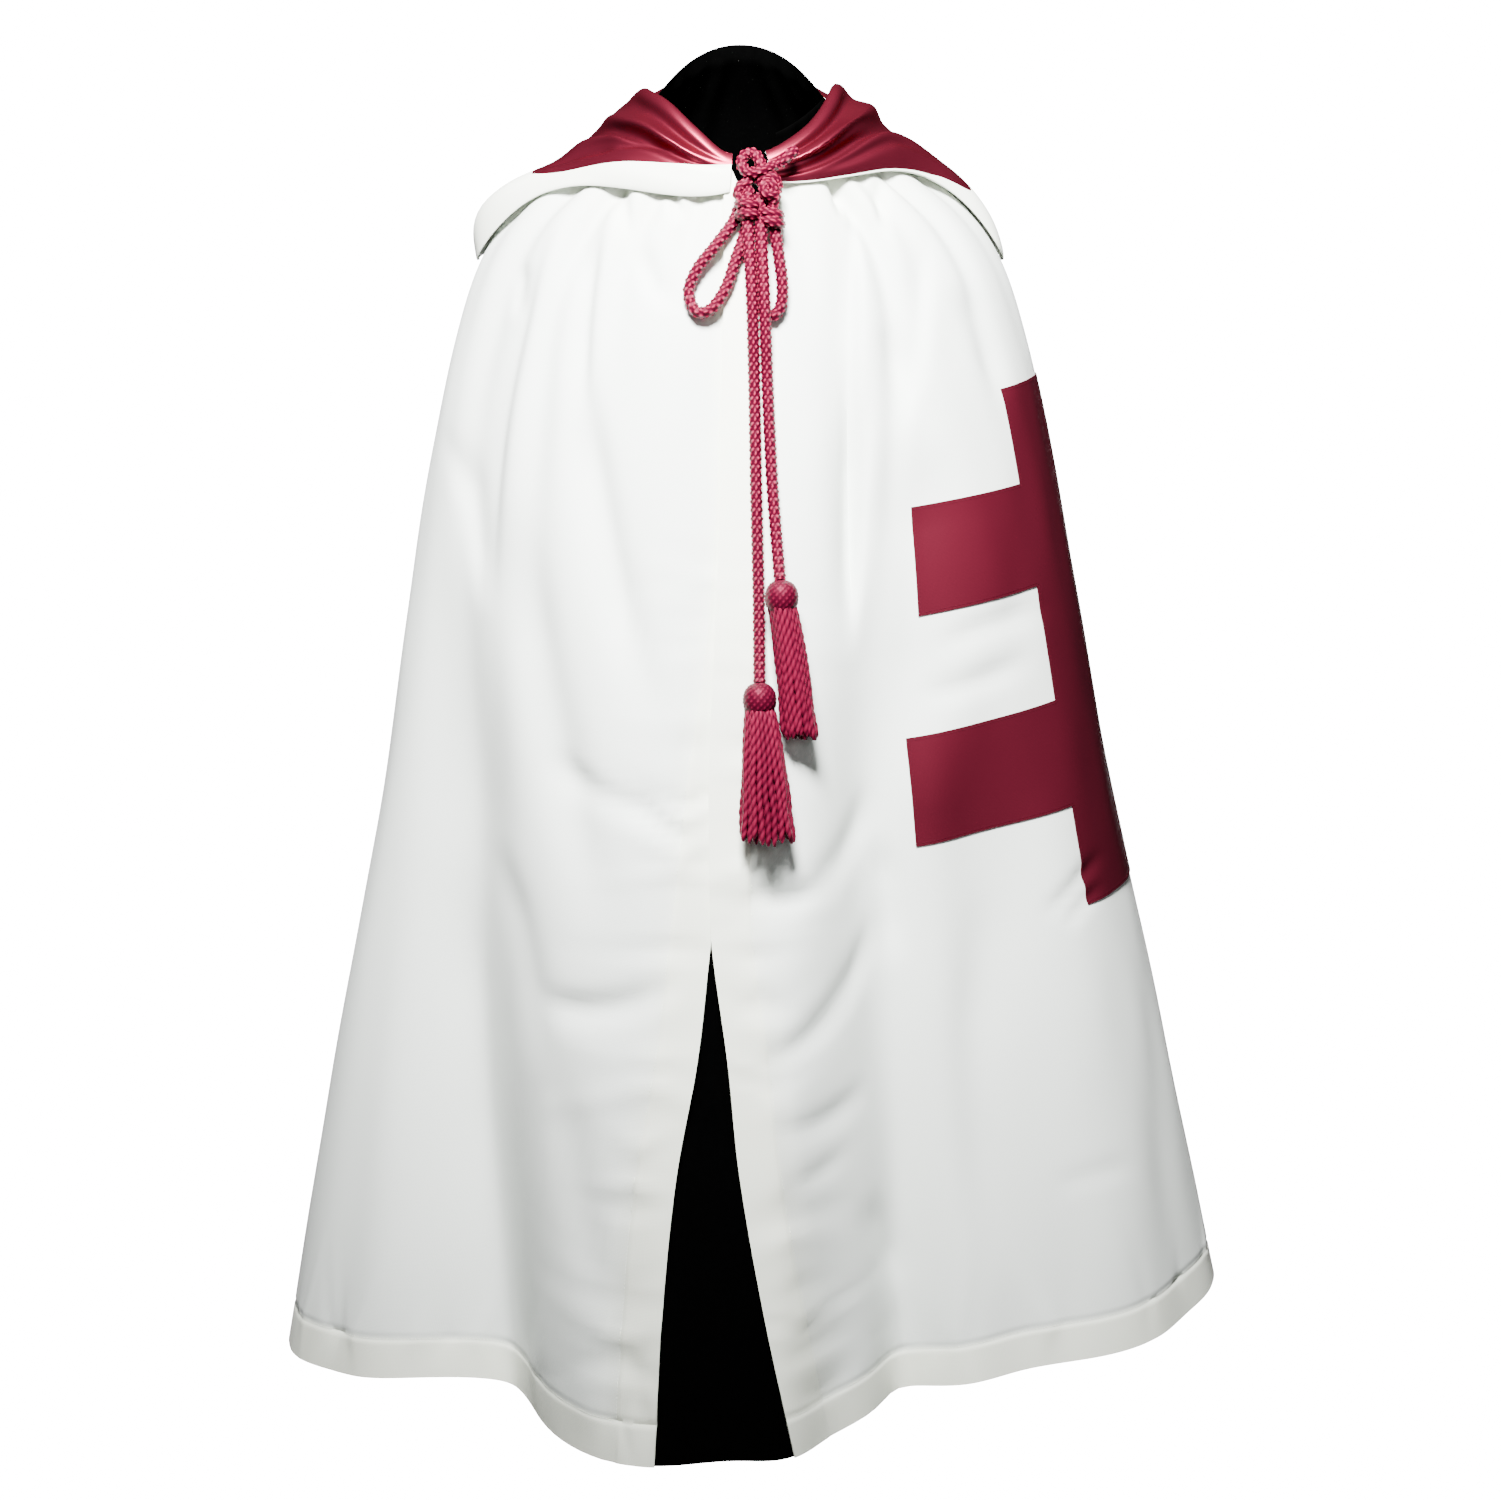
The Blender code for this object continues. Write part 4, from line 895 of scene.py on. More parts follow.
def set_tube(piece, route, j, angle, reach):
    """Wrap a grid round a route, each point at its own angle and reach."""
    sides, ups = frames_along(route)
    way = sides[j] * np.cos(angle)[:, None] + ups[j] * np.sin(angle)[:, None]
    set_points(piece, route[j] + way * reach[:, None])


def braid_height(angle, run, strands, pitch):
    """Height 0 to 1 of a braid's yarn crowns, staggered in rows and drawn out along one spiral."""
    one = 0.5 + 0.5 * np.cos(strands * angle + pi * run / pitch)
    two = 0.5 + 0.5 * np.cos(strands * angle - pi * run / pitch)
    return one ** BRAID_ONE * two ** BRAID_TWO


def braided_tube(name, route, radius, strands=BRAID_STRANDS, pitch=BRAID_PITCH, around=36, thin_ends=0):
    """Cord of a braid's raised yarns along a route, with a value at each point for the painted highlight on
    the yarn crowns and the painted shade between them.
    """
    piece, i, j = add_grid(name, around, len(route) - 1)
    angle = 2.0 * pi * i / around
    run = run_along(route)[j]
    height = braid_height(angle, run, strands, pitch)
    reach = radius - BRAID_DEPTH * (BRAID_MIDDLE - height)
    if thin_ends:
        from_end = np.minimum(j, len(route) - 1 - j)
        reach = reach * np.sqrt(np.clip((from_end + 0.35) / thin_ends, 0.0, 1.0))
    set_tube(piece, route, j, angle, reach)
    # Painted light: the crowns of the yarns are lit and the grooves are shaded
    set_attribute(piece, "painted_yarn_light", height)
    close_tube(piece)
    return piece


def node_tree(name, values):
    """New material with its node tree, and its shader with values filled in."""
    material = bpy.data.materials.new(name)
    material.use_nodes = True
    tree = material.node_tree
    shader = tree.nodes["Principled BSDF"]
    for key, value in values.items():
        shader.inputs[key].default_value = value
    return material, tree, shader


def add_node(tree, kind, **values):
    """New shader node with its inputs or settings filled in."""
    node = tree.nodes.new(kind)
    for key, value in values.items():
        if key in node.inputs:
            node.inputs[key].default_value = value
        else:
            setattr(node, key, value)
    return node


def woven(tree, shader, pitch, depth, strength):
    """Bump of a plain weave on the UV map in metres, with slight slubs."""
    place = add_node(tree, "ShaderNodeTexCoord")
    threads = {"wave_type": 'BANDS', "Scale": WAVE_PITCH / pitch, "Distortion": 0.6}
    warp = add_node(tree, "ShaderNodeTexWave", bands_direction='X', **threads)
    weft = add_node(tree, "ShaderNodeTexWave", bands_direction='Y', **threads)
    slub = add_node(tree, "ShaderNodeTexNoise", Scale=420.0, Detail=3.0)
    both = add_node(tree, "ShaderNodeMath", operation='MULTIPLY')
    sum_up = add_node(tree, "ShaderNodeMath", operation='ADD')
    bump = add_node(tree, "ShaderNodeBump", Strength=strength, Distance=depth)
    links = tree.links
    for pattern in (warp, weft, slub):
        links.new(place.outputs["UV"], pattern.inputs["Vector"])
    links.new(warp.outputs["Fac"], both.inputs[0])
    links.new(weft.outputs["Fac"], both.inputs[1])
    links.new(both.outputs[0], sum_up.inputs[0])
    links.new(slub.outputs["Fac"], sum_up.inputs[1])
    links.new(sum_up.outputs[0], bump.inputs["Height"])
    links.new(bump.outputs["Normal"], shader.inputs["Normal"])


def mottled(tree, shader, dark, light, scale=1.0, factor=None):
    """Colour between two tones, by soft noise or by a given factor."""
    mix = add_node(tree, "ShaderNodeMix", data_type='RGBA')
    mix.inputs["A"].default_value = (*dark, 1.0)
    mix.inputs["B"].default_value = (*light, 1.0)
    if factor is None:
        place = add_node(tree, "ShaderNodeTexCoord")
        noise = add_node(tree, "ShaderNodeTexNoise", Scale=scale, Detail=2.0)
        tree.links.new(place.outputs["Object"], noise.inputs["Vector"])
        factor = noise.outputs["Fac"]
    tree.links.new(factor, mix.inputs["Factor"])
    tree.links.new(mix.outputs["Result"], shader.inputs["Base Color"])


def cream_material(colours):
    """Plain-woven cream cloth, whiter where it lies single and creamier where it lies double; near the neck
    the creamier tone is painted warm light.
    """
    material, tree, shader = node_tree("cream_cloth", {
        "Roughness": 0.72, "Sheen Weight": 0.12, "Sheen Roughness": 0.5, "Specular IOR Level": 0.35,
    })
    attribute = add_node(tree, "ShaderNodeAttribute", attribute_name="doubled_and_lit_neck")
    mottled(tree, shader, colours.cream, colours.doubled_and_lit_neck, factor=attribute.outputs["Fac"])
    woven(tree, shader, pitch=0.0011, depth=0.0003, strength=0.18)
    return material


def satin_material(colours):
    """Burgundy satin with a soft broad shine."""
    material, tree, shader = node_tree("burgundy_satin", {
        "Metallic": 0.86, "Roughness": 0.35,
        "Specular Tint": (1.0, 0.16, 0.26, 1.0), "Specular IOR Level": 0.5,
    })
    deep = [0.82 * c for c in colours.satin]
    mottled(tree, shader, deep, colours.satin, scale=30.0)
    woven(tree, shader, pitch=0.0007, depth=0.0002, strength=0.08)
    return material


def cross_material(colours):
    """Matt burgundy cloth of the cross."""
    material, tree, shader = node_tree("cross_cloth", {
        "Roughness": 0.6, "Specular Tint": (1.0, 0.2, 0.3, 1.0), "Specular IOR Level": 0.15,
    })
    deep = [0.86 * c for c in colours.cross]
    mottled(tree, shader, deep, colours.cross, scale=14.0)
    woven(tree, shader, pitch=0.0011, depth=0.0003, strength=0.16)
    return material


def hollow_shade_material(colours):
    """Matt black sheet, painted shade that stands for the dark hollow inside."""
    material, tree, shader = node_tree("black_cloth", {"Roughness": 1.0, "Specular IOR Level": 0.0})
    grey = [2.0 * c for c in colours.hollow_shade]
    mottled(tree, shader, colours.hollow_shade, grey, scale=200.0)
    return material


def cord_material(colours, name, light):
    """Rayon yarn, with painted shade between its yarns and a painted highlight on their crowns."""
    material, tree, shader = node_tree(name, {
        "Roughness": 0.5, "Specular Tint": (1.0, 0.18, 0.30, 1.0), "Specular IOR Level": 0.3,
    })
    attribute = add_node(tree, "ShaderNodeAttribute", attribute_name="painted_yarn_light")
    ramp = add_node(tree, "ShaderNodeMapRange", **{"From Min": 0.22, "From Max": 0.80})
    tree.links.new(attribute.outputs["Fac"], ramp.inputs["Value"])
    mottled(tree, shader, colours.cord_shaded, light, factor=ramp.outputs["Result"])
    place = add_node(tree, "ShaderNodeTexCoord")
    fibre = add_node(tree, "ShaderNodeTexNoise", Scale=1400.0, Detail=2.0)
    bump = add_node(tree, "ShaderNodeBump", Strength=0.25, Distance=0.0003)
    tree.links.new(place.outputs["Object"], fibre.inputs["Vector"])
    tree.links.new(fibre.outputs["Fac"], bump.inputs["Height"])
    tree.links.new(bump.outputs["Normal"], shader.inputs["Normal"])
    return material


def shared(context, name, make, *more):
    """The named material, made on its first use and marked as the mantle's own."""
    found = bpy.data.materials.get(name)
    if found and found.get("mantle"):
        return found
    material = make(context.scene.mantle_colours, *more)
    material["mantle"] = True
    return material


def yarn(context):
    """The braided cord's material."""
    light = context.scene.mantle_colours.cord_lit
    return shared(context, "braided_cord", cord_material, "braided_cord", light)


class MANTLE_OT_camera(bpy.types.Operator):
    """Set the camera at the front, a little above the mantle's middle"""
    bl_idname = "mantle.camera"
    bl_label = "Camera"

    def execute(self, context):
        pitch = radians(CAMERA_PITCH)
        back = Vector((0.0, -cos(pitch), sin(pitch))) * CAMERA_FAR
        bpy.ops.object.camera_add(location=CAMERA_AIM + back, rotation=(pi / 2.0 - pitch, 0.0, 0.0))
        camera = context.object
        camera.name = "camera"
        camera.data.lens = CAMERA_LENS
        camera.data.sensor_width = CAMERA_SENSOR
        camera.data.clip_end = CAMERA_CLIP
        context.scene.camera = camera
        return {'FINISHED'}


class MANTLE_OT_cords(bpy.types.Operator):
    """Make the braided neck cord, the bow's two loops and its two hanging ends"""
    bl_idname = "mantle.cords"
    bl_label = "Cords"

    def execute(self, context):
        for name, node, stations in (
            ("neck_cord", "cord_neck", CORD_NECK),
            ("bow_loop_right", "loop_right", LOOP_RIGHT),
            ("bow_loop_left", "loop_left", LOOP_LEFT),
            ("cord_end_right", "tail_right", TAIL_RIGHT),
            ("cord_end_left", "tail_left", TAIL_LEFT),
        ):
            piece = braided_tube(name, smooth_route(stations, CORD_STEP), CORD_DIAMETER / 2.0)
            finish_piece(piece, yarn(context), "cord", node)
        return {'FINISHED'}


class MANTLE_OT_knot(bpy.types.Operator):
    """Make the knot of the bow from turns of the same cord"""
    bl_idname = "mantle.knot"
    bl_label = "Knot"

    def execute(self, context):
        parts = []
        for stations in (KNOT_RING, KNOT_RIGHT, KNOT_LEFT, *KNOT_WRAPS):
            route = smooth_route(stations, CORD_STEP)
            parts.append(braided_tube("knot_turn", route, KNOT_RADIUS, thin_ends=4))
        knot = join_pieces("bow_knot", parts)
        finish_piece(knot, yarn(context), "cord", "knot")
        return {'FINISHED'}


class MANTLE_OT_tassels(bpy.types.Operator):
    """Make each tassel: a wound head and a skirt of twisted strands"""
    bl_idname = "mantle.tassels"
    bl_label = "Tassels"

    def execute(self, context):
        strands = context.scene.mantle_sizes.strands
        for number, (node, stations, lean, half) in enumerate(TASSELS):
            route = smooth_route(stations, TASSEL_STEP)
            onward = unit(route[-1] - route[-6])
            head = route[-1] + onward * (HEAD_TALL + TASSEL_GAP)
            parts = [self.head(head)]
            foot_z = head[2] - HEAD_TALL - SKIRT_LENGTH
            clear = half * SKIRT_FLAT + TASSEL_CLEAR
            foot_x = head[0] + lean
            foot_y = min(front_point(foot_x + side, foot_z, clear)[1] for side in (-half, 0.0, half))
            foot = np.array((foot_x, foot_y, foot_z))
            rng = np.random.default_rng(STRAND_SEED + number)
            for k in range(strands):
                parts.append(self.strand(head, foot, half, k, strands, rng))
            tassel = join_pieces(node + "_wound", parts)
            light = context.scene.mantle_colours.tassel
            material = shared(context, "tassel_yarn", cord_material, "tassel_yarn", light)
            finish_piece(tassel, material, "cord", node)
        return {'FINISHED'}

    def head(self, centre):
        """Wound cap with small stitches in rows."""
        around, along = 60, 34
        piece, i, j = add_grid("tassel_head", around, along)
        angle = 2.0 * pi * i / around
        tilt = pi * j / along
        height = braid_height(angle, tilt * HEAD_TALL, HEAD_STITCHES, HEAD_PITCH)
        wide = np.sin(tilt) ** 0.7
        reach = HEAD_RADIUS * wide * (0.97 + 0.07 * height)
        z = -np.cos(tilt) * HEAD_TALL * (0.98 + 0.03 * height)
        points = np.stack((np.cos(angle) * reach, np.sin(angle) * reach, z), axis=-1) + centre
        set_points(piece, points)
        # Painted highlight on the head's stitch crowns, with painted shade between them
        set_attribute(piece, "painted_yarn_light", 0.10 + 0.75 * height)
        close_tube(piece)
        return piece

    def strand(self, head, foot, half, k, strands, rng):
        """One two-ply twisted strand from under the head to the skirt's foot."""
        around, along = 10, 50
        outer = int(strands * OUTER_SHARE)
        ring = 0 if k < strands * OUTER_SHARE else 1
        count = outer if ring == 0 else strands - outer
        order = k if ring == 0 else k - outer
        angle = 2.0 * pi * (order + 0.5 * ring + 0.2 * rng.uniform(-1.0, 1.0)) / count
        spread = (1.0 if ring == 0 else INNER_SPREAD) * rng.uniform(0.93, 1.02)
        wide = STRAND_ROOT * spread
        root = head + np.array((cos(angle) * wide, sin(angle) * wide, -HEAD_TALL * HEAD_OPENING))
        end = foot + np.array((cos(angle) * (half - STRAND_RADIUS) * spread,
                               sin(angle) * (half - STRAND_RADIUS) * SKIRT_FLAT * spread,
                               rng.uniform(0.0, 0.007)))
        t = np.linspace(0.0, 1.0, along + 1)
        swell = t ** 0.75
        route = root + (end - root) * np.stack((swell, swell, t), axis=-1)
        wave = STRAND_WAVE * np.sin(2.0 * pi * (t * rng.uniform(1.2, 2.2) + rng.uniform())) * t
        route[:, 0] += wave
        piece, i, j = add_grid("tassel_strand", around, along)
        turn = 2.0 * pi * i / around
        run = t[j] * np.linalg.norm(end - root)
        ply = np.abs(np.cos(turn - pi * run / STRAND_TWIST + k))
        end_cap = np.sqrt(np.clip((1.0 - t[j]) * along / 2.2 + 0.12, 0.0, 1.0))
        reach = STRAND_RADIUS * (PLY_LOW + PLY_RISE * ply) * end_cap
        set_tube(piece, route, j, turn, reach)
        # Painted highlight on the ply crowns and painted shade in the twist's grooves, with a random tone for
        # each strand
        set_attribute(piece, "painted_yarn_light", ply * rng.uniform(0.7, 1.0))
        close_tube(piece)
        return piece


class MANTLE_OT_body(bpy.types.Operator):
    """Make the two halves of the mantle's body, with turned-in fronts and hem"""
    bl_idname = "mantle.body"
    bl_label = "Body"

    def execute(self, context):
        sizes = context.scene.mantle_sizes
        cream = shared(context, "cream_cloth", cream_material)
        shares, drops = spaced(BODY_SHARES), spaced(BODY_DROPS)
        across, along = len(shares) - 1, len(drops) - 1
        for name, node, right_half in (
            ("mantle_left", "body_left", False),
            ("mantle_right", "body_right", True),
        ):
            piece, i, j = add_grid(name, across, along)
            column = i if right_half else across - i
            share, drop = shares[column], drops[j]
            turn = body_turns(share, drop, right_half)
            drop = notched(turn, drop)
            set_points(piece, cloth_surface(turn, drop, right_half, sizes.slack))
            facing = 1.0 - smooth_step(*FACING_EASE, share)
            hem = smooth_step(HEM_DROP - HEM_EASE, HEM_DROP + HEM_EASE, drop)
            # Painted warm light: the creamier tone near the neck stands for light falling on the top
            neck = NECK_PAINTED_LIGHT * (1.0 - smooth_step(0.0, NECK_PAINTED_LIGHT_FOOT, drop))
            set_attribute(piece, "doubled_and_lit_neck", np.maximum(np.maximum(facing, hem), neck))
            set_cloth_map(piece, turn, BODY_MAP, drop * CLOTH_LENGTH)
            thicken(piece, sizes.body_wall)
            finish_piece(piece, cream, "cream_cloth", node)
        return {'FINISHED'}


class MANTLE_OT_inside(bpy.types.Operator):
    """Make the black facings inside the neck and the black panel behind the slit, as painted shade for the
    dark hollow inside
    """
    bl_idname = "mantle.inside"
    bl_label = "Inside"

    def execute(self, context):
        sizes = context.scene.mantle_sizes
        hollow_shade = shared(context, "black_cloth", hollow_shade_material)
        for name, node, right_half in (
            ("neck_inside_left", "neck_facing_left", False),
            ("neck_inside_right", "neck_facing_right", True),
        ):
            piece, i, j = add_grid(name, NECK_COLUMNS, NECK_ROWS)
            reach = i / NECK_COLUMNS if right_half else 1.0 - i / NECK_COLUMNS
            turn = (NECK_FIRST + (NECK_LAST - NECK_FIRST) * reach) * (-1.0 if right_half else 1.0)
            foot = NECK_FRONT_FOOT + (NECK_FOOT - NECK_FRONT_FOOT) * smooth_step(*NECK_WIDENS, np.abs(turn))
            drop = NECK_RISE + (foot - NECK_RISE) * j / NECK_ROWS
            out = np.where(drop < 0.0, NECK_LIP * smooth_step(0.0, NECK_RISE, drop), 0.0)
            inside = -(NECK_BEHIND + sizes.seam_gap) * smooth_step(NECK_RISE, 0.0, drop)
            even = smooth_step(0.0, NECK_RISE, drop)[:, None]
            place = plain_surface(turn, drop) * (1.0 - even) + base_point(turn, drop) * even
            set_points(piece, place + normal_of(base_point, turn, drop) * (out + inside)[:, None])
            set_cloth_map(piece, turn, NECK_MAP, drop * CLOTH_LENGTH)
            thicken(piece, sizes.lining_wall)
            finish_piece(piece, hollow_shade, "black_cloth", node)
        piece, i, j = add_grid("slit_panel", PANEL_COLUMNS, PANEL_ROWS)
        drop = UNDERLAP_TOP + (1.0 - UNDERLAP_TOP) * j / PANEL_ROWS
        right = turn_at(read_table(FRONT_EDGES, UNDER_X, drop) - UNDERLAP_MARGIN, drop)
        left = turn_at(read_table(FRONT_EDGES, OVER_X, drop) + UNDERLAP_MARGIN, drop)
        turn = left + (right - left) * i / PANEL_COLUMNS
        base = base_point(turn, drop)
        depth, rise = fold_depth(turn, drop)
        depth = depth + crease_depth(base[:, 0], base[:, 2], FRONT_CREASES) + PANEL_CLEAR
        depth = depth + LAP_STEP * lap_fade(drop)
        place = base - normal_of(base_point, turn, drop) * depth[:, None]
        place[:, 2] += rise
        set_points(piece, place)
        set_cloth_map(piece, turn, PANEL_MAP, drop * CLOTH_LENGTH)
        thicken(piece, sizes.lining_wall)
        finish_piece(piece, hollow_shade, "black_cloth", "underlap")
        return {'FINISHED'}


def hood_grid(turns, levels):
    """Points of the hood at a table of columns and levels, and their height above the body."""
    grid = np.empty((len(turns), levels.shape[1], 3))
    room = np.empty(levels.shape)
    for k, turn in enumerate(turns):
        runs = np.array([read_table(HOOD, 1 + 2 * n, turn) for n in range(HOOD_POINTS)])
        lifts = np.array([read_table(HOOD, 2 + 2 * n, turn) for n in range(HOOD_POINTS)])
        rows = np.column_stack((np.linspace(0.0, 1.0, HOOD_POINTS), runs, lifts))
        run, lift = read_table(rows, 1, levels[k]), read_table(rows, 2, levels[k])
        down = base_point(np.full(len(HOOD_DROPS), turn), HOOD_DROPS)
        drop = read_table(np.column_stack((run_along(down), HOOD_DROPS)), 1, run)
        here = np.full(len(drop), turn)
        grid[k] = base_point(here, drop) + normal_of(base_point, here, drop) * lift[:, None]
        stand = read_table(HOOD_COLLAR, 1, turn) * smooth_step(0.0, COLLAR_CREST, levels[k])
        stand = stand * (1.0 - smooth_step(COLLAR_CREST, COLLAR_FOOT, levels[k]))
        grid[k, :, 2] += stand
        grid[k, :, :2] -= unit(grid[k, :, :2]) * (COLLAR_LEAN * stand)[:, None]
        room[k] = np.maximum(lift + stand - HOOD_CLEAR, HOOD_LEAST)
    return grid, room


def grid_normals(grid):
    """Unit normals of a table of points."""
    return unit(np.cross(np.gradient(grid, axis=1), np.gradient(grid, axis=0)))


class MANTLE_OT_hood(bpy.types.Operator):
    """Make the lowered hood: cream outside, satin lining and turned-in cream edge"""
    bl_idname = "mantle.hood"
    bl_label = "Hood"

    columns = 300
    lining_cells = 72
    facing_cells = 16

    def execute(self, context):
        sizes = context.scene.mantle_sizes
        turns = np.linspace(HOOD_FIRST, HOOD_LAST, self.columns + 1)
        split = read_table(HOOD_FACING, 1, turns)[:, None]
        inner = np.arange(self.lining_cells + 1)[None, :] / self.lining_cells
        outer = np.arange(1, self.facing_cells + 1)[None, :] / self.facing_cells
        levels = np.concatenate((split * inner, split + (1.0 - split) * outer), axis=1)
        grid, room = hood_grid(turns, levels)
        normals = grid_normals(grid)
        depth = self.creases(turns[:, None], levels)
        depth = np.where(depth > 0.0, room * (1.0 - np.exp(-depth / room)), depth)
        grid = grid - normals * depth[..., None]
        cream = shared(context, "cream_cloth", cream_material)
        satin = shared(context, "burgundy_satin", satin_material)
        rise = sizes.seam_gap + sizes.lining_wall
        total = self.lining_cells + self.facing_cells
        rim = 1.0 - np.clip((1.0 - levels) / np.maximum(1.0 - split, EDGE_LEAST) * RIM_SHARP, 0.0, 1.0)
        out = rise * np.sqrt(1.0 - rim * rim)
        length = np.linalg.norm(np.diff(grid, axis=1), axis=2).cumsum(axis=1)
        length = np.concatenate((np.zeros((len(turns), 1)), length), axis=1)
        lifts = {"hood_outer": 0.0 * out, "hood_lining": rise + 0.0 * out, "hood_facing": out}
        seam = self.lining_cells
        for name, node, first, last, material, wall, flat, area in (
            ("hood_cloth", "hood_outer", 0, total, cream, sizes.hood_wall, (0.62, 0.42), 0.245),
            ("hood_satin", "hood_lining", 0, seam, satin, sizes.lining_wall, (0.60, 0.40), 0.205),
            ("hood_edge", "hood_facing", seam, total, cream, sizes.lining_wall, (0.90, 0.052), 0.043),
        ):
            shown = slice(first, last + 1)
            part = grid[:, shown] + normals[:, shown] * lifts[node][:, shown, None]
            if node == "hood_lining":
                part[:, -1] = part[:, -1] - (part[:, -1] - part[:, -2]) * SEAM_SHORT
            piece, i, j = add_grid(name, self.columns, last - first)
            column = self.columns - i
            set_points(piece, part[column, j])
            if material is cream:
                set_attribute(piece, "doubled_and_lit_neck", np.full(len(i), HOOD_DOUBLED))
            set_cloth_map(piece, turns[column], HOOD_MAP, length[:, shown][column, j])
            thicken(piece, wall)
            finish_piece(piece, material, "cream_cloth" if material is cream else "burgundy_satin", node)
        return {'FINISHED'}

    def creases(self, turn, level):
        """Depth of the folds pressed into the hood."""
        depth = np.zeros(np.broadcast(turn, level).shape)
        for turn0, level0, turn1, level1, spread, deep in HOOD_CREASES:
            t = (turn - turn0) / (turn1 - turn0)
            centre = level0 + (level1 - level0) * t
            ends = smooth_step(*HOOD_HEAD, t) * (1.0 - smooth_step(*HOOD_END, t))
            depth = depth + deep * np.exp(-((level - centre) / spread) ** 2) * ends
        return depth * smooth_step(*HOOD_FADE_IN, level) * (1.0 - smooth_step(*HOOD_FADE_OUT, level))


def cross_place(column, row):
    """Turn and drop at places counted in the cross's guides and rows."""
    drop = np.interp(row, np.arange(len(CROSS_DROPS)), CROSS_DROPS)
    guides = np.array(CROSS_GUIDES)
    lines = guides[:, :1] + (guides[:, 1:] - guides[:, :1]) * drop[None, :]
    low = np.minimum(column.astype(int), len(CROSS_GUIDES) - 2)
    point = np.arange(len(column))
    turn = lines[low, point] + (lines[low + 1, point] - lines[low, point]) * (column - low)
    return turn, drop


class MANTLE_OT_cross(bpy.types.Operator):
    """Make the double-barred cross as one cloth on the body's own form"""
    bl_idname = "mantle.cross"
    bl_label = "Cross"

    def execute(self, context):
        sizes = context.scene.mantle_sizes
        cloth = shared(context, "cross_cloth", cross_material)
        columns = spaced([(float(k), cells) for k, cells in enumerate(CROSS_COLUMN_CELLS)])
        rows = spaced([(float(k), cells) for k, cells in enumerate(CROSS_ROW_CELLS)])
        across, along = len(columns) - 1, len(rows) - 1
        piece, i, j = add_grid("cross_applied", across, along)
        place = columns[across - i]
        turn, drop = cross_place(place, rows[j])
        half = half_surface(False, sizes.slack)
        out = sizes.seam_gap + sizes.lining_wall
        set_points(piece, half(turn, drop) + normal_of(half, turn, drop) * out)
        set_cloth_map(piece, turn, CROSS_MAP, drop * CLOTH_LENGTH)
        self.cut(piece, place, rows[j])
        thicken(piece, sizes.lining_wall)
        finish_piece(piece, cloth, "cross_cloth", *CROSS_NODES)
        return {'FINISHED'}

    def cut(self, piece, column, row):
        """Cut the cross out of its grid."""
        mesh = piece.data
        count = len(mesh.polygons)
        corner = np.empty(count * 4, dtype=int)
        mesh.polygons.foreach_get("vertices", corner)
        corner = corner.reshape(count, 4)
        band = column[corner].mean(axis=1).astype(int)
        level = row[corner].mean(axis=1).astype(int)
        first = np.array([span[0] for span in CROSS_SPANS])[level]
        last = np.array([span[1] for span in CROSS_SPANS])[level]
        activate(piece)
        bpy.ops.object.mode_set(mode='EDIT')
        bpy.ops.mesh.select_mode(type='FACE')
        bpy.ops.mesh.select_all(action='DESELECT')
        bpy.ops.object.mode_set(mode='OBJECT')
        mesh.polygons.foreach_set("select", (band < first) | (band > last))
        bpy.ops.object.mode_set(mode='EDIT')
        bpy.ops.mesh.delete(type='FACE')
        bpy.ops.mesh.select_mode(type='VERT')
        bpy.ops.object.mode_set(mode='OBJECT')


def even_steps(points, normals, step):
    """Even places along a line of points, with the way ahead and the normal at each."""
    run = run_along(points)
    at = np.arange(step / 2.0, run[-1], step)
    place = np.stack([np.interp(at, run, points[:, axis]) for axis in range(3)], axis=-1)
    out = unit(np.stack([np.interp(at, run, normals[:, axis]) for axis in range(3)], axis=-1))
    return place, unit(np.gradient(place, axis=0)), out


def stitched(name, lines):
    """Small rounded stitches, one at each place of the lines, joined in one piece."""
    place, ahead, out = (np.concatenate(part) for part in zip(*lines))
    deselect()
    bpy.ops.mesh.primitive_uv_sphere_add(segments=6, ring_count=4, radius=1.0)
    piece = bpy.context.object
    piece.name = name
    piece.data.name = name
    count = len(piece.data.vertices)
    local = np.empty(count * 3)
    piece.data.vertices.foreach_get("co", local)
    local = np.tile(local.reshape(-1, 3), (len(place), 1))
    apply_modifier(piece, 'ARRAY', count=len(place), use_relative_offset=False, use_constant_offset=True,
                   constant_offset_displace=(3.0, 0.0, 0.0))
    which = np.repeat(np.arange(len(place)), count)
    side = np.cross(out, ahead)
    size = np.array(STITCH_HALF) * local
    lengthways = place[which] + ahead[which] * size[:, 2:]
    set_points(piece, lengthways + side[which] * size[:, :1] + out[which] * size[:, 1:2])
    return piece


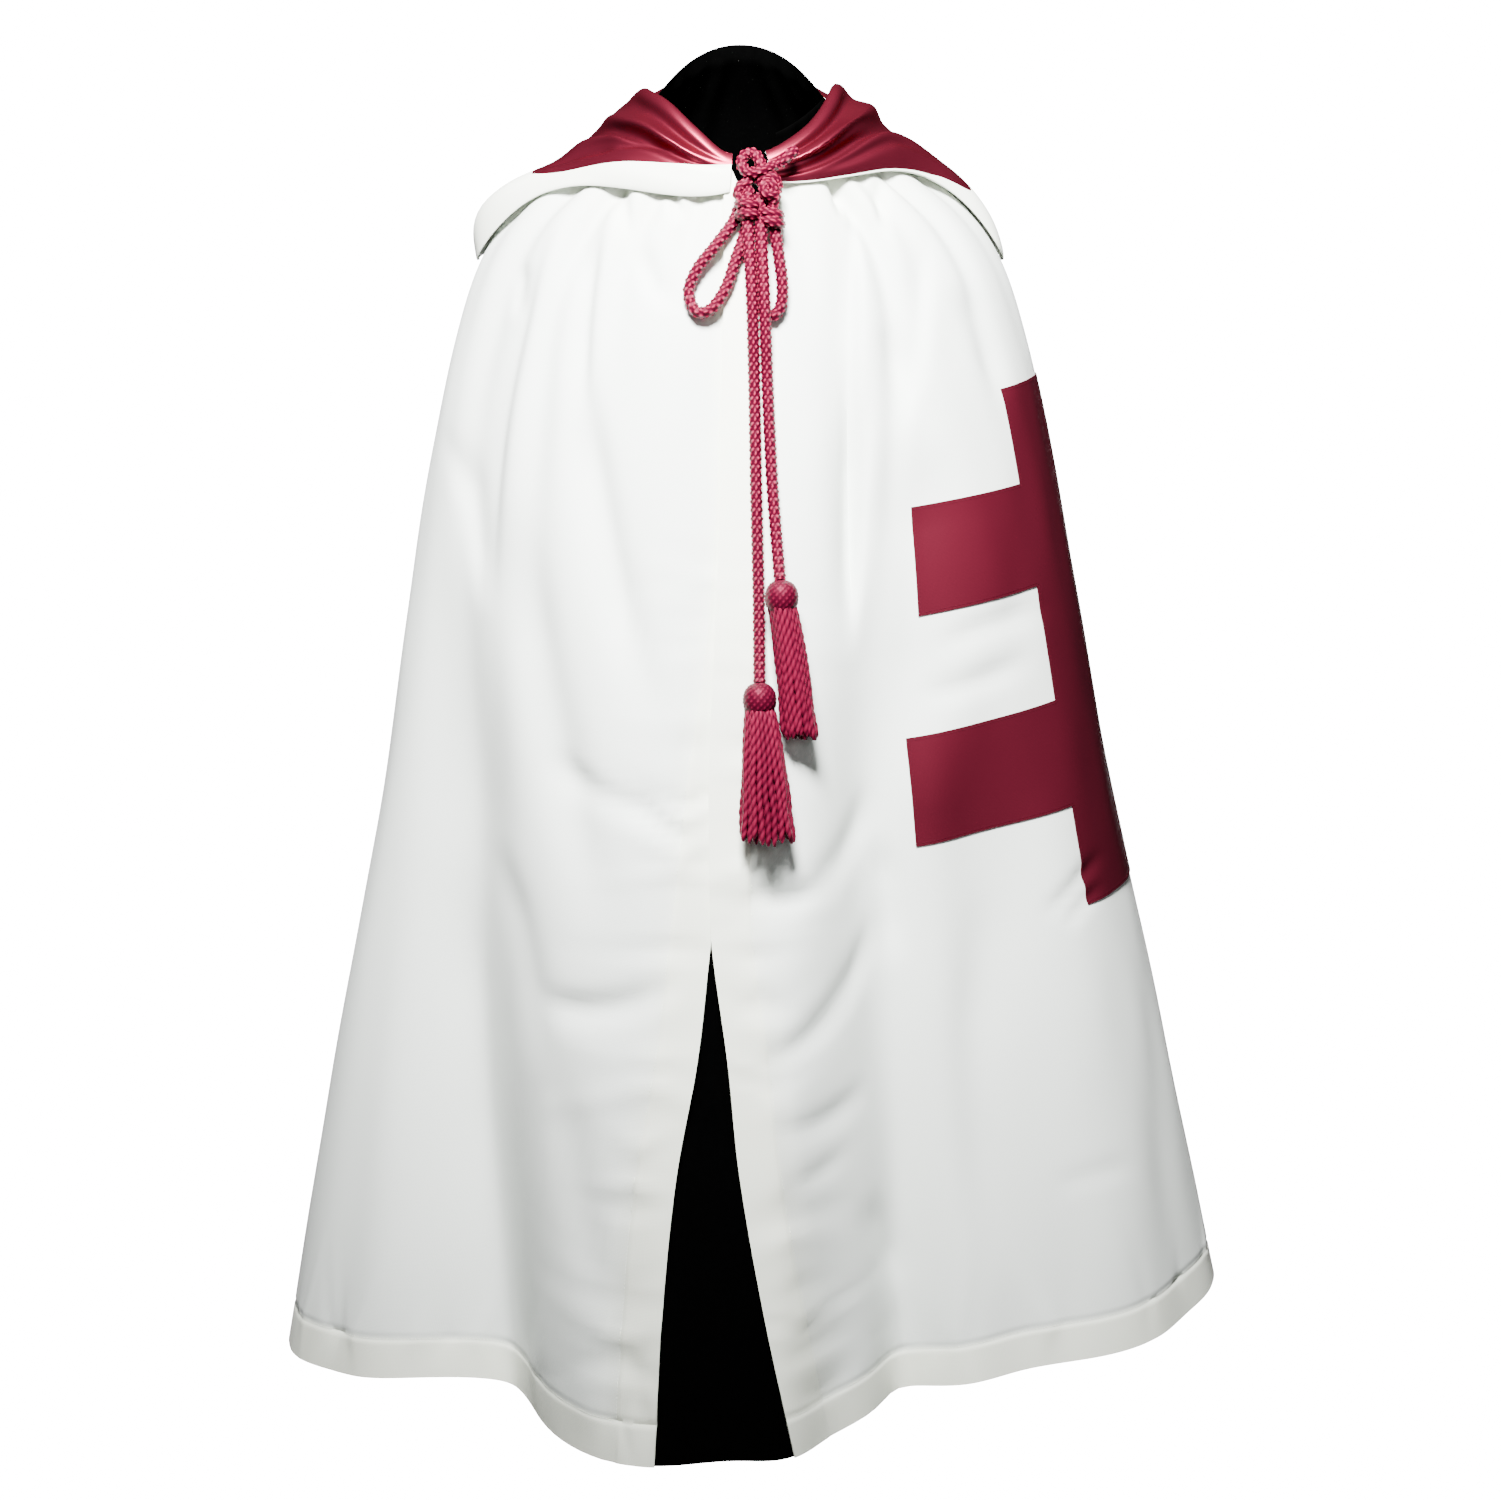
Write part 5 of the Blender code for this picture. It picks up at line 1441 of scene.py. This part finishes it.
class MANTLE_OT_stitches(bpy.types.Operator):
    """Sew the facings, the hem and the edges of the cross"""
    bl_idname = "mantle.stitches"
    bl_label = "Stitches"

    def execute(self, context):
        sizes = context.scene.mantle_sizes
        pitch = sizes.stitch_pitch
        lines = []
        for right_half in (False, True):
            half = half_surface(right_half, sizes.slack)
            drop = np.linspace(SEWN_FROM, HEM_DROP, FRONT_MARKS)
            turn = body_turns(np.ones(FRONT_MARKS), drop, right_half)
            drop = notched(turn, drop)
            lines.append(even_steps(half(turn, drop), normal_of(half, turn, drop), pitch))
            drop = np.full(HEM_MARKS, HEM_DROP)
            turn = body_turns(np.linspace(0.0, 2.0, HEM_MARKS), drop, right_half)
            lines.append(even_steps(half(turn, drop), normal_of(half, turn, drop), pitch))
        sewn = stitched("cream_stitches", lines)
        set_attribute(sewn, "doubled_and_lit_neck", np.full(len(sewn.data.vertices), 1.0))
        finish_piece(sewn, shared(context, "cream_cloth", cream_material), "cream_cloth")
        cross_line = stitched("cross_stitches", [self.outline(sizes)])
        finish_piece(cross_line, shared(context, "cross_cloth", cross_material), "cross_cloth")
        return {'FINISHED'}

    def outline(self, sizes):
        """Line of stitches a little inside the edge of the cross."""
        corners = np.array(CROSS_OUTLINE, dtype=float)
        steps = np.linspace(0.0, 1.0, CROSS_MARKS, endpoint=False)[:, None]
        path = np.concatenate([a + (b - a) * steps for a, b in zip(corners, corners[1:])])
        turn, drop = cross_place(path[:, 0], path[:, 1])
        half = half_surface(False, sizes.slack)
        out = normal_of(half, turn, drop)
        place = half(turn, drop) + out * (sizes.seam_gap + sizes.lining_wall)
        inward = unit(np.cross(unit(np.gradient(place, axis=0)), out))
        return even_steps(place + inward * CROSS_SEWN, out, sizes.stitch_pitch)


def seen_only(tree, socket, cast, seen):
    """Glow that looks bright and casts less light than it shows."""
    path = add_node(tree, "ShaderNodeLightPath")
    strength = add_node(tree, "ShaderNodeMapRange", **{"To Min": cast, "To Max": seen})
    tree.links.new(path.outputs["Is Camera Ray"], strength.inputs["Value"])
    tree.links.new(strength.outputs["Result"], socket)


def add_lamp(kind, name, place, aim, watts):
    """New lamp at a place, turned to its aim."""
    bpy.ops.object.light_add(type=kind, location=place)
    lamp = bpy.context.object
    lamp.name = name
    lamp.data.energy = watts
    lamp.rotation_euler = (aim - Vector(place)).to_track_quat('-Z', 'Y').to_euler()
    return lamp.data


class MANTLE_OT_stage(bpy.types.Operator):
    """Set the pale floor and soft studio light"""
    bl_idname = "mantle.stage"
    bl_label = "Stage"

    def execute(self, context):
        tone = context.scene.mantle_colours.floor
        for name, rows, glow in (
            ("floor", FLOOR_ROWS, FLOOR_GLOW),
            ("backdrop", BACKDROP_ROWS, BACKDROP_GLOW),
        ):
            sheet, i, j = add_grid(name, FLOOR_CELLS, len(rows) - 1)
            line = np.array(rows)[j]
            across = (2.0 * i / FLOOR_CELLS - 1.0) * line[:, 2]
            set_points(sheet, np.stack((across, line[:, 0], line[:, 1]), axis=-1))
            material, tree, shader = node_tree("pale_" + name, {
                "Roughness": 0.9, "Emission Color": (1.0, 1.0, 1.0, 1.0),
            })
            path = add_node(tree, "ShaderNodeLightPath")
            dim = [FLOOR_DIM * c for c in tone]
            mottled(tree, shader, dim, tone, factor=path.outputs["Is Camera Ray"])
            seen_only(tree, shader.inputs["Emission Strength"], 0.0, glow)
            sheet.data.materials.append(material)
            bpy.ops.object.shade_smooth()
        world = bpy.data.worlds.new("soft_light")
        world.use_nodes = True
        tree = world.node_tree
        glow = tree.nodes["Background"]
        glow.inputs["Color"].default_value = WORLD_TINT
        seen_only(tree, glow.inputs["Strength"], WORLD_LIGHT, WORLD_SEEN)
        context.scene.world = world
        for name, place, watts, size in LAMPS:
            add_lamp('AREA', name, place, LAMP_AIM, watts).size = size
        key = add_lamp('SPOT', "key", KEY_PLACE, KEY_AIM, KEY_WATTS)
        key.spot_size = radians(KEY_BEAM)
        key.spot_blend = 1.0
        key.shadow_soft_size = KEY_RADIUS
        tilt = (radians(OVERHEAD_TILT), 0.0, 0.0)
        bpy.ops.object.light_add(type='SUN', location=OVERHEAD_PLACE, rotation=tilt)
        overhead = context.object
        overhead.name = "overhead"
        overhead.data.energy = OVERHEAD
        overhead.data.angle = radians(OVERHEAD_SOFT)
        return {'FINISHED'}


class MANTLE_OT_declare(bpy.types.Operator):
    """Work out each cord's route at a coarse step, without keeping it"""
    bl_idname = "mantle.declare"
    bl_label = "Cord facts"

    def execute(self, context):
        for name, stations, far_end, carried in (
            ("bow_loop_right", LOOP_RIGHT, "knot", ()),
            ("bow_loop_left", LOOP_LEFT, "knot", ()),
            ("cord_end_right", TAIL_RIGHT, "fitting", ("tassel_right_wound", "bow_knot", "neck_cord")),
            ("cord_end_left", TAIL_LEFT, "fitting", ("tassel_left_wound",)),
        ):
            route = smooth_route(stations, FACT_STEP)
        return {'FINISHED'}


OPERATORS = (
    MANTLE_OT_camera, MANTLE_OT_cords, MANTLE_OT_knot, MANTLE_OT_tassels, MANTLE_OT_declare, MANTLE_OT_body,
    MANTLE_OT_inside, MANTLE_OT_hood, MANTLE_OT_cross, MANTLE_OT_stitches, MANTLE_OT_stage,
)


class MANTLE_PT_sidebar(bpy.types.Panel):
    """Pieces of the mantle, in the order that they are made"""
    bl_idname = "MANTLE_PT_sidebar"
    bl_label = "Templar mantle"
    bl_space_type = 'VIEW_3D'
    bl_region_type = 'UI'
    bl_category = "Mantle"

    def draw(self, context):
        for group in (context.scene.mantle_sizes, context.scene.mantle_colours):
            for key in group.__annotations__:
                self.layout.prop(group, key)
        for operator in OPERATORS:
            self.layout.operator(operator.bl_idname)


CLASSES = (MantleSizes, MantleColours, *OPERATORS, MANTLE_PT_sidebar)


def register():
    """Add the mantle's classes and settings."""
    for kind in CLASSES:
        bpy.utils.register_class(kind)
    bpy.types.Scene.mantle_sizes = PointerProperty(type=MantleSizes)
    bpy.types.Scene.mantle_colours = PointerProperty(type=MantleColours)


def unregister():
    """Take the mantle's settings and classes away."""
    del bpy.types.Scene.mantle_colours
    del bpy.types.Scene.mantle_sizes
    for kind in reversed(CLASSES):
        bpy.utils.unregister_class(kind)


def main():
    """Make all pieces in order."""
    register()
    deselect()
    for operator in OPERATORS:
        group, name = operator.bl_idname.split(".")
        getattr(getattr(bpy.ops, group), name)()


if __name__ == "__main__":
    main()
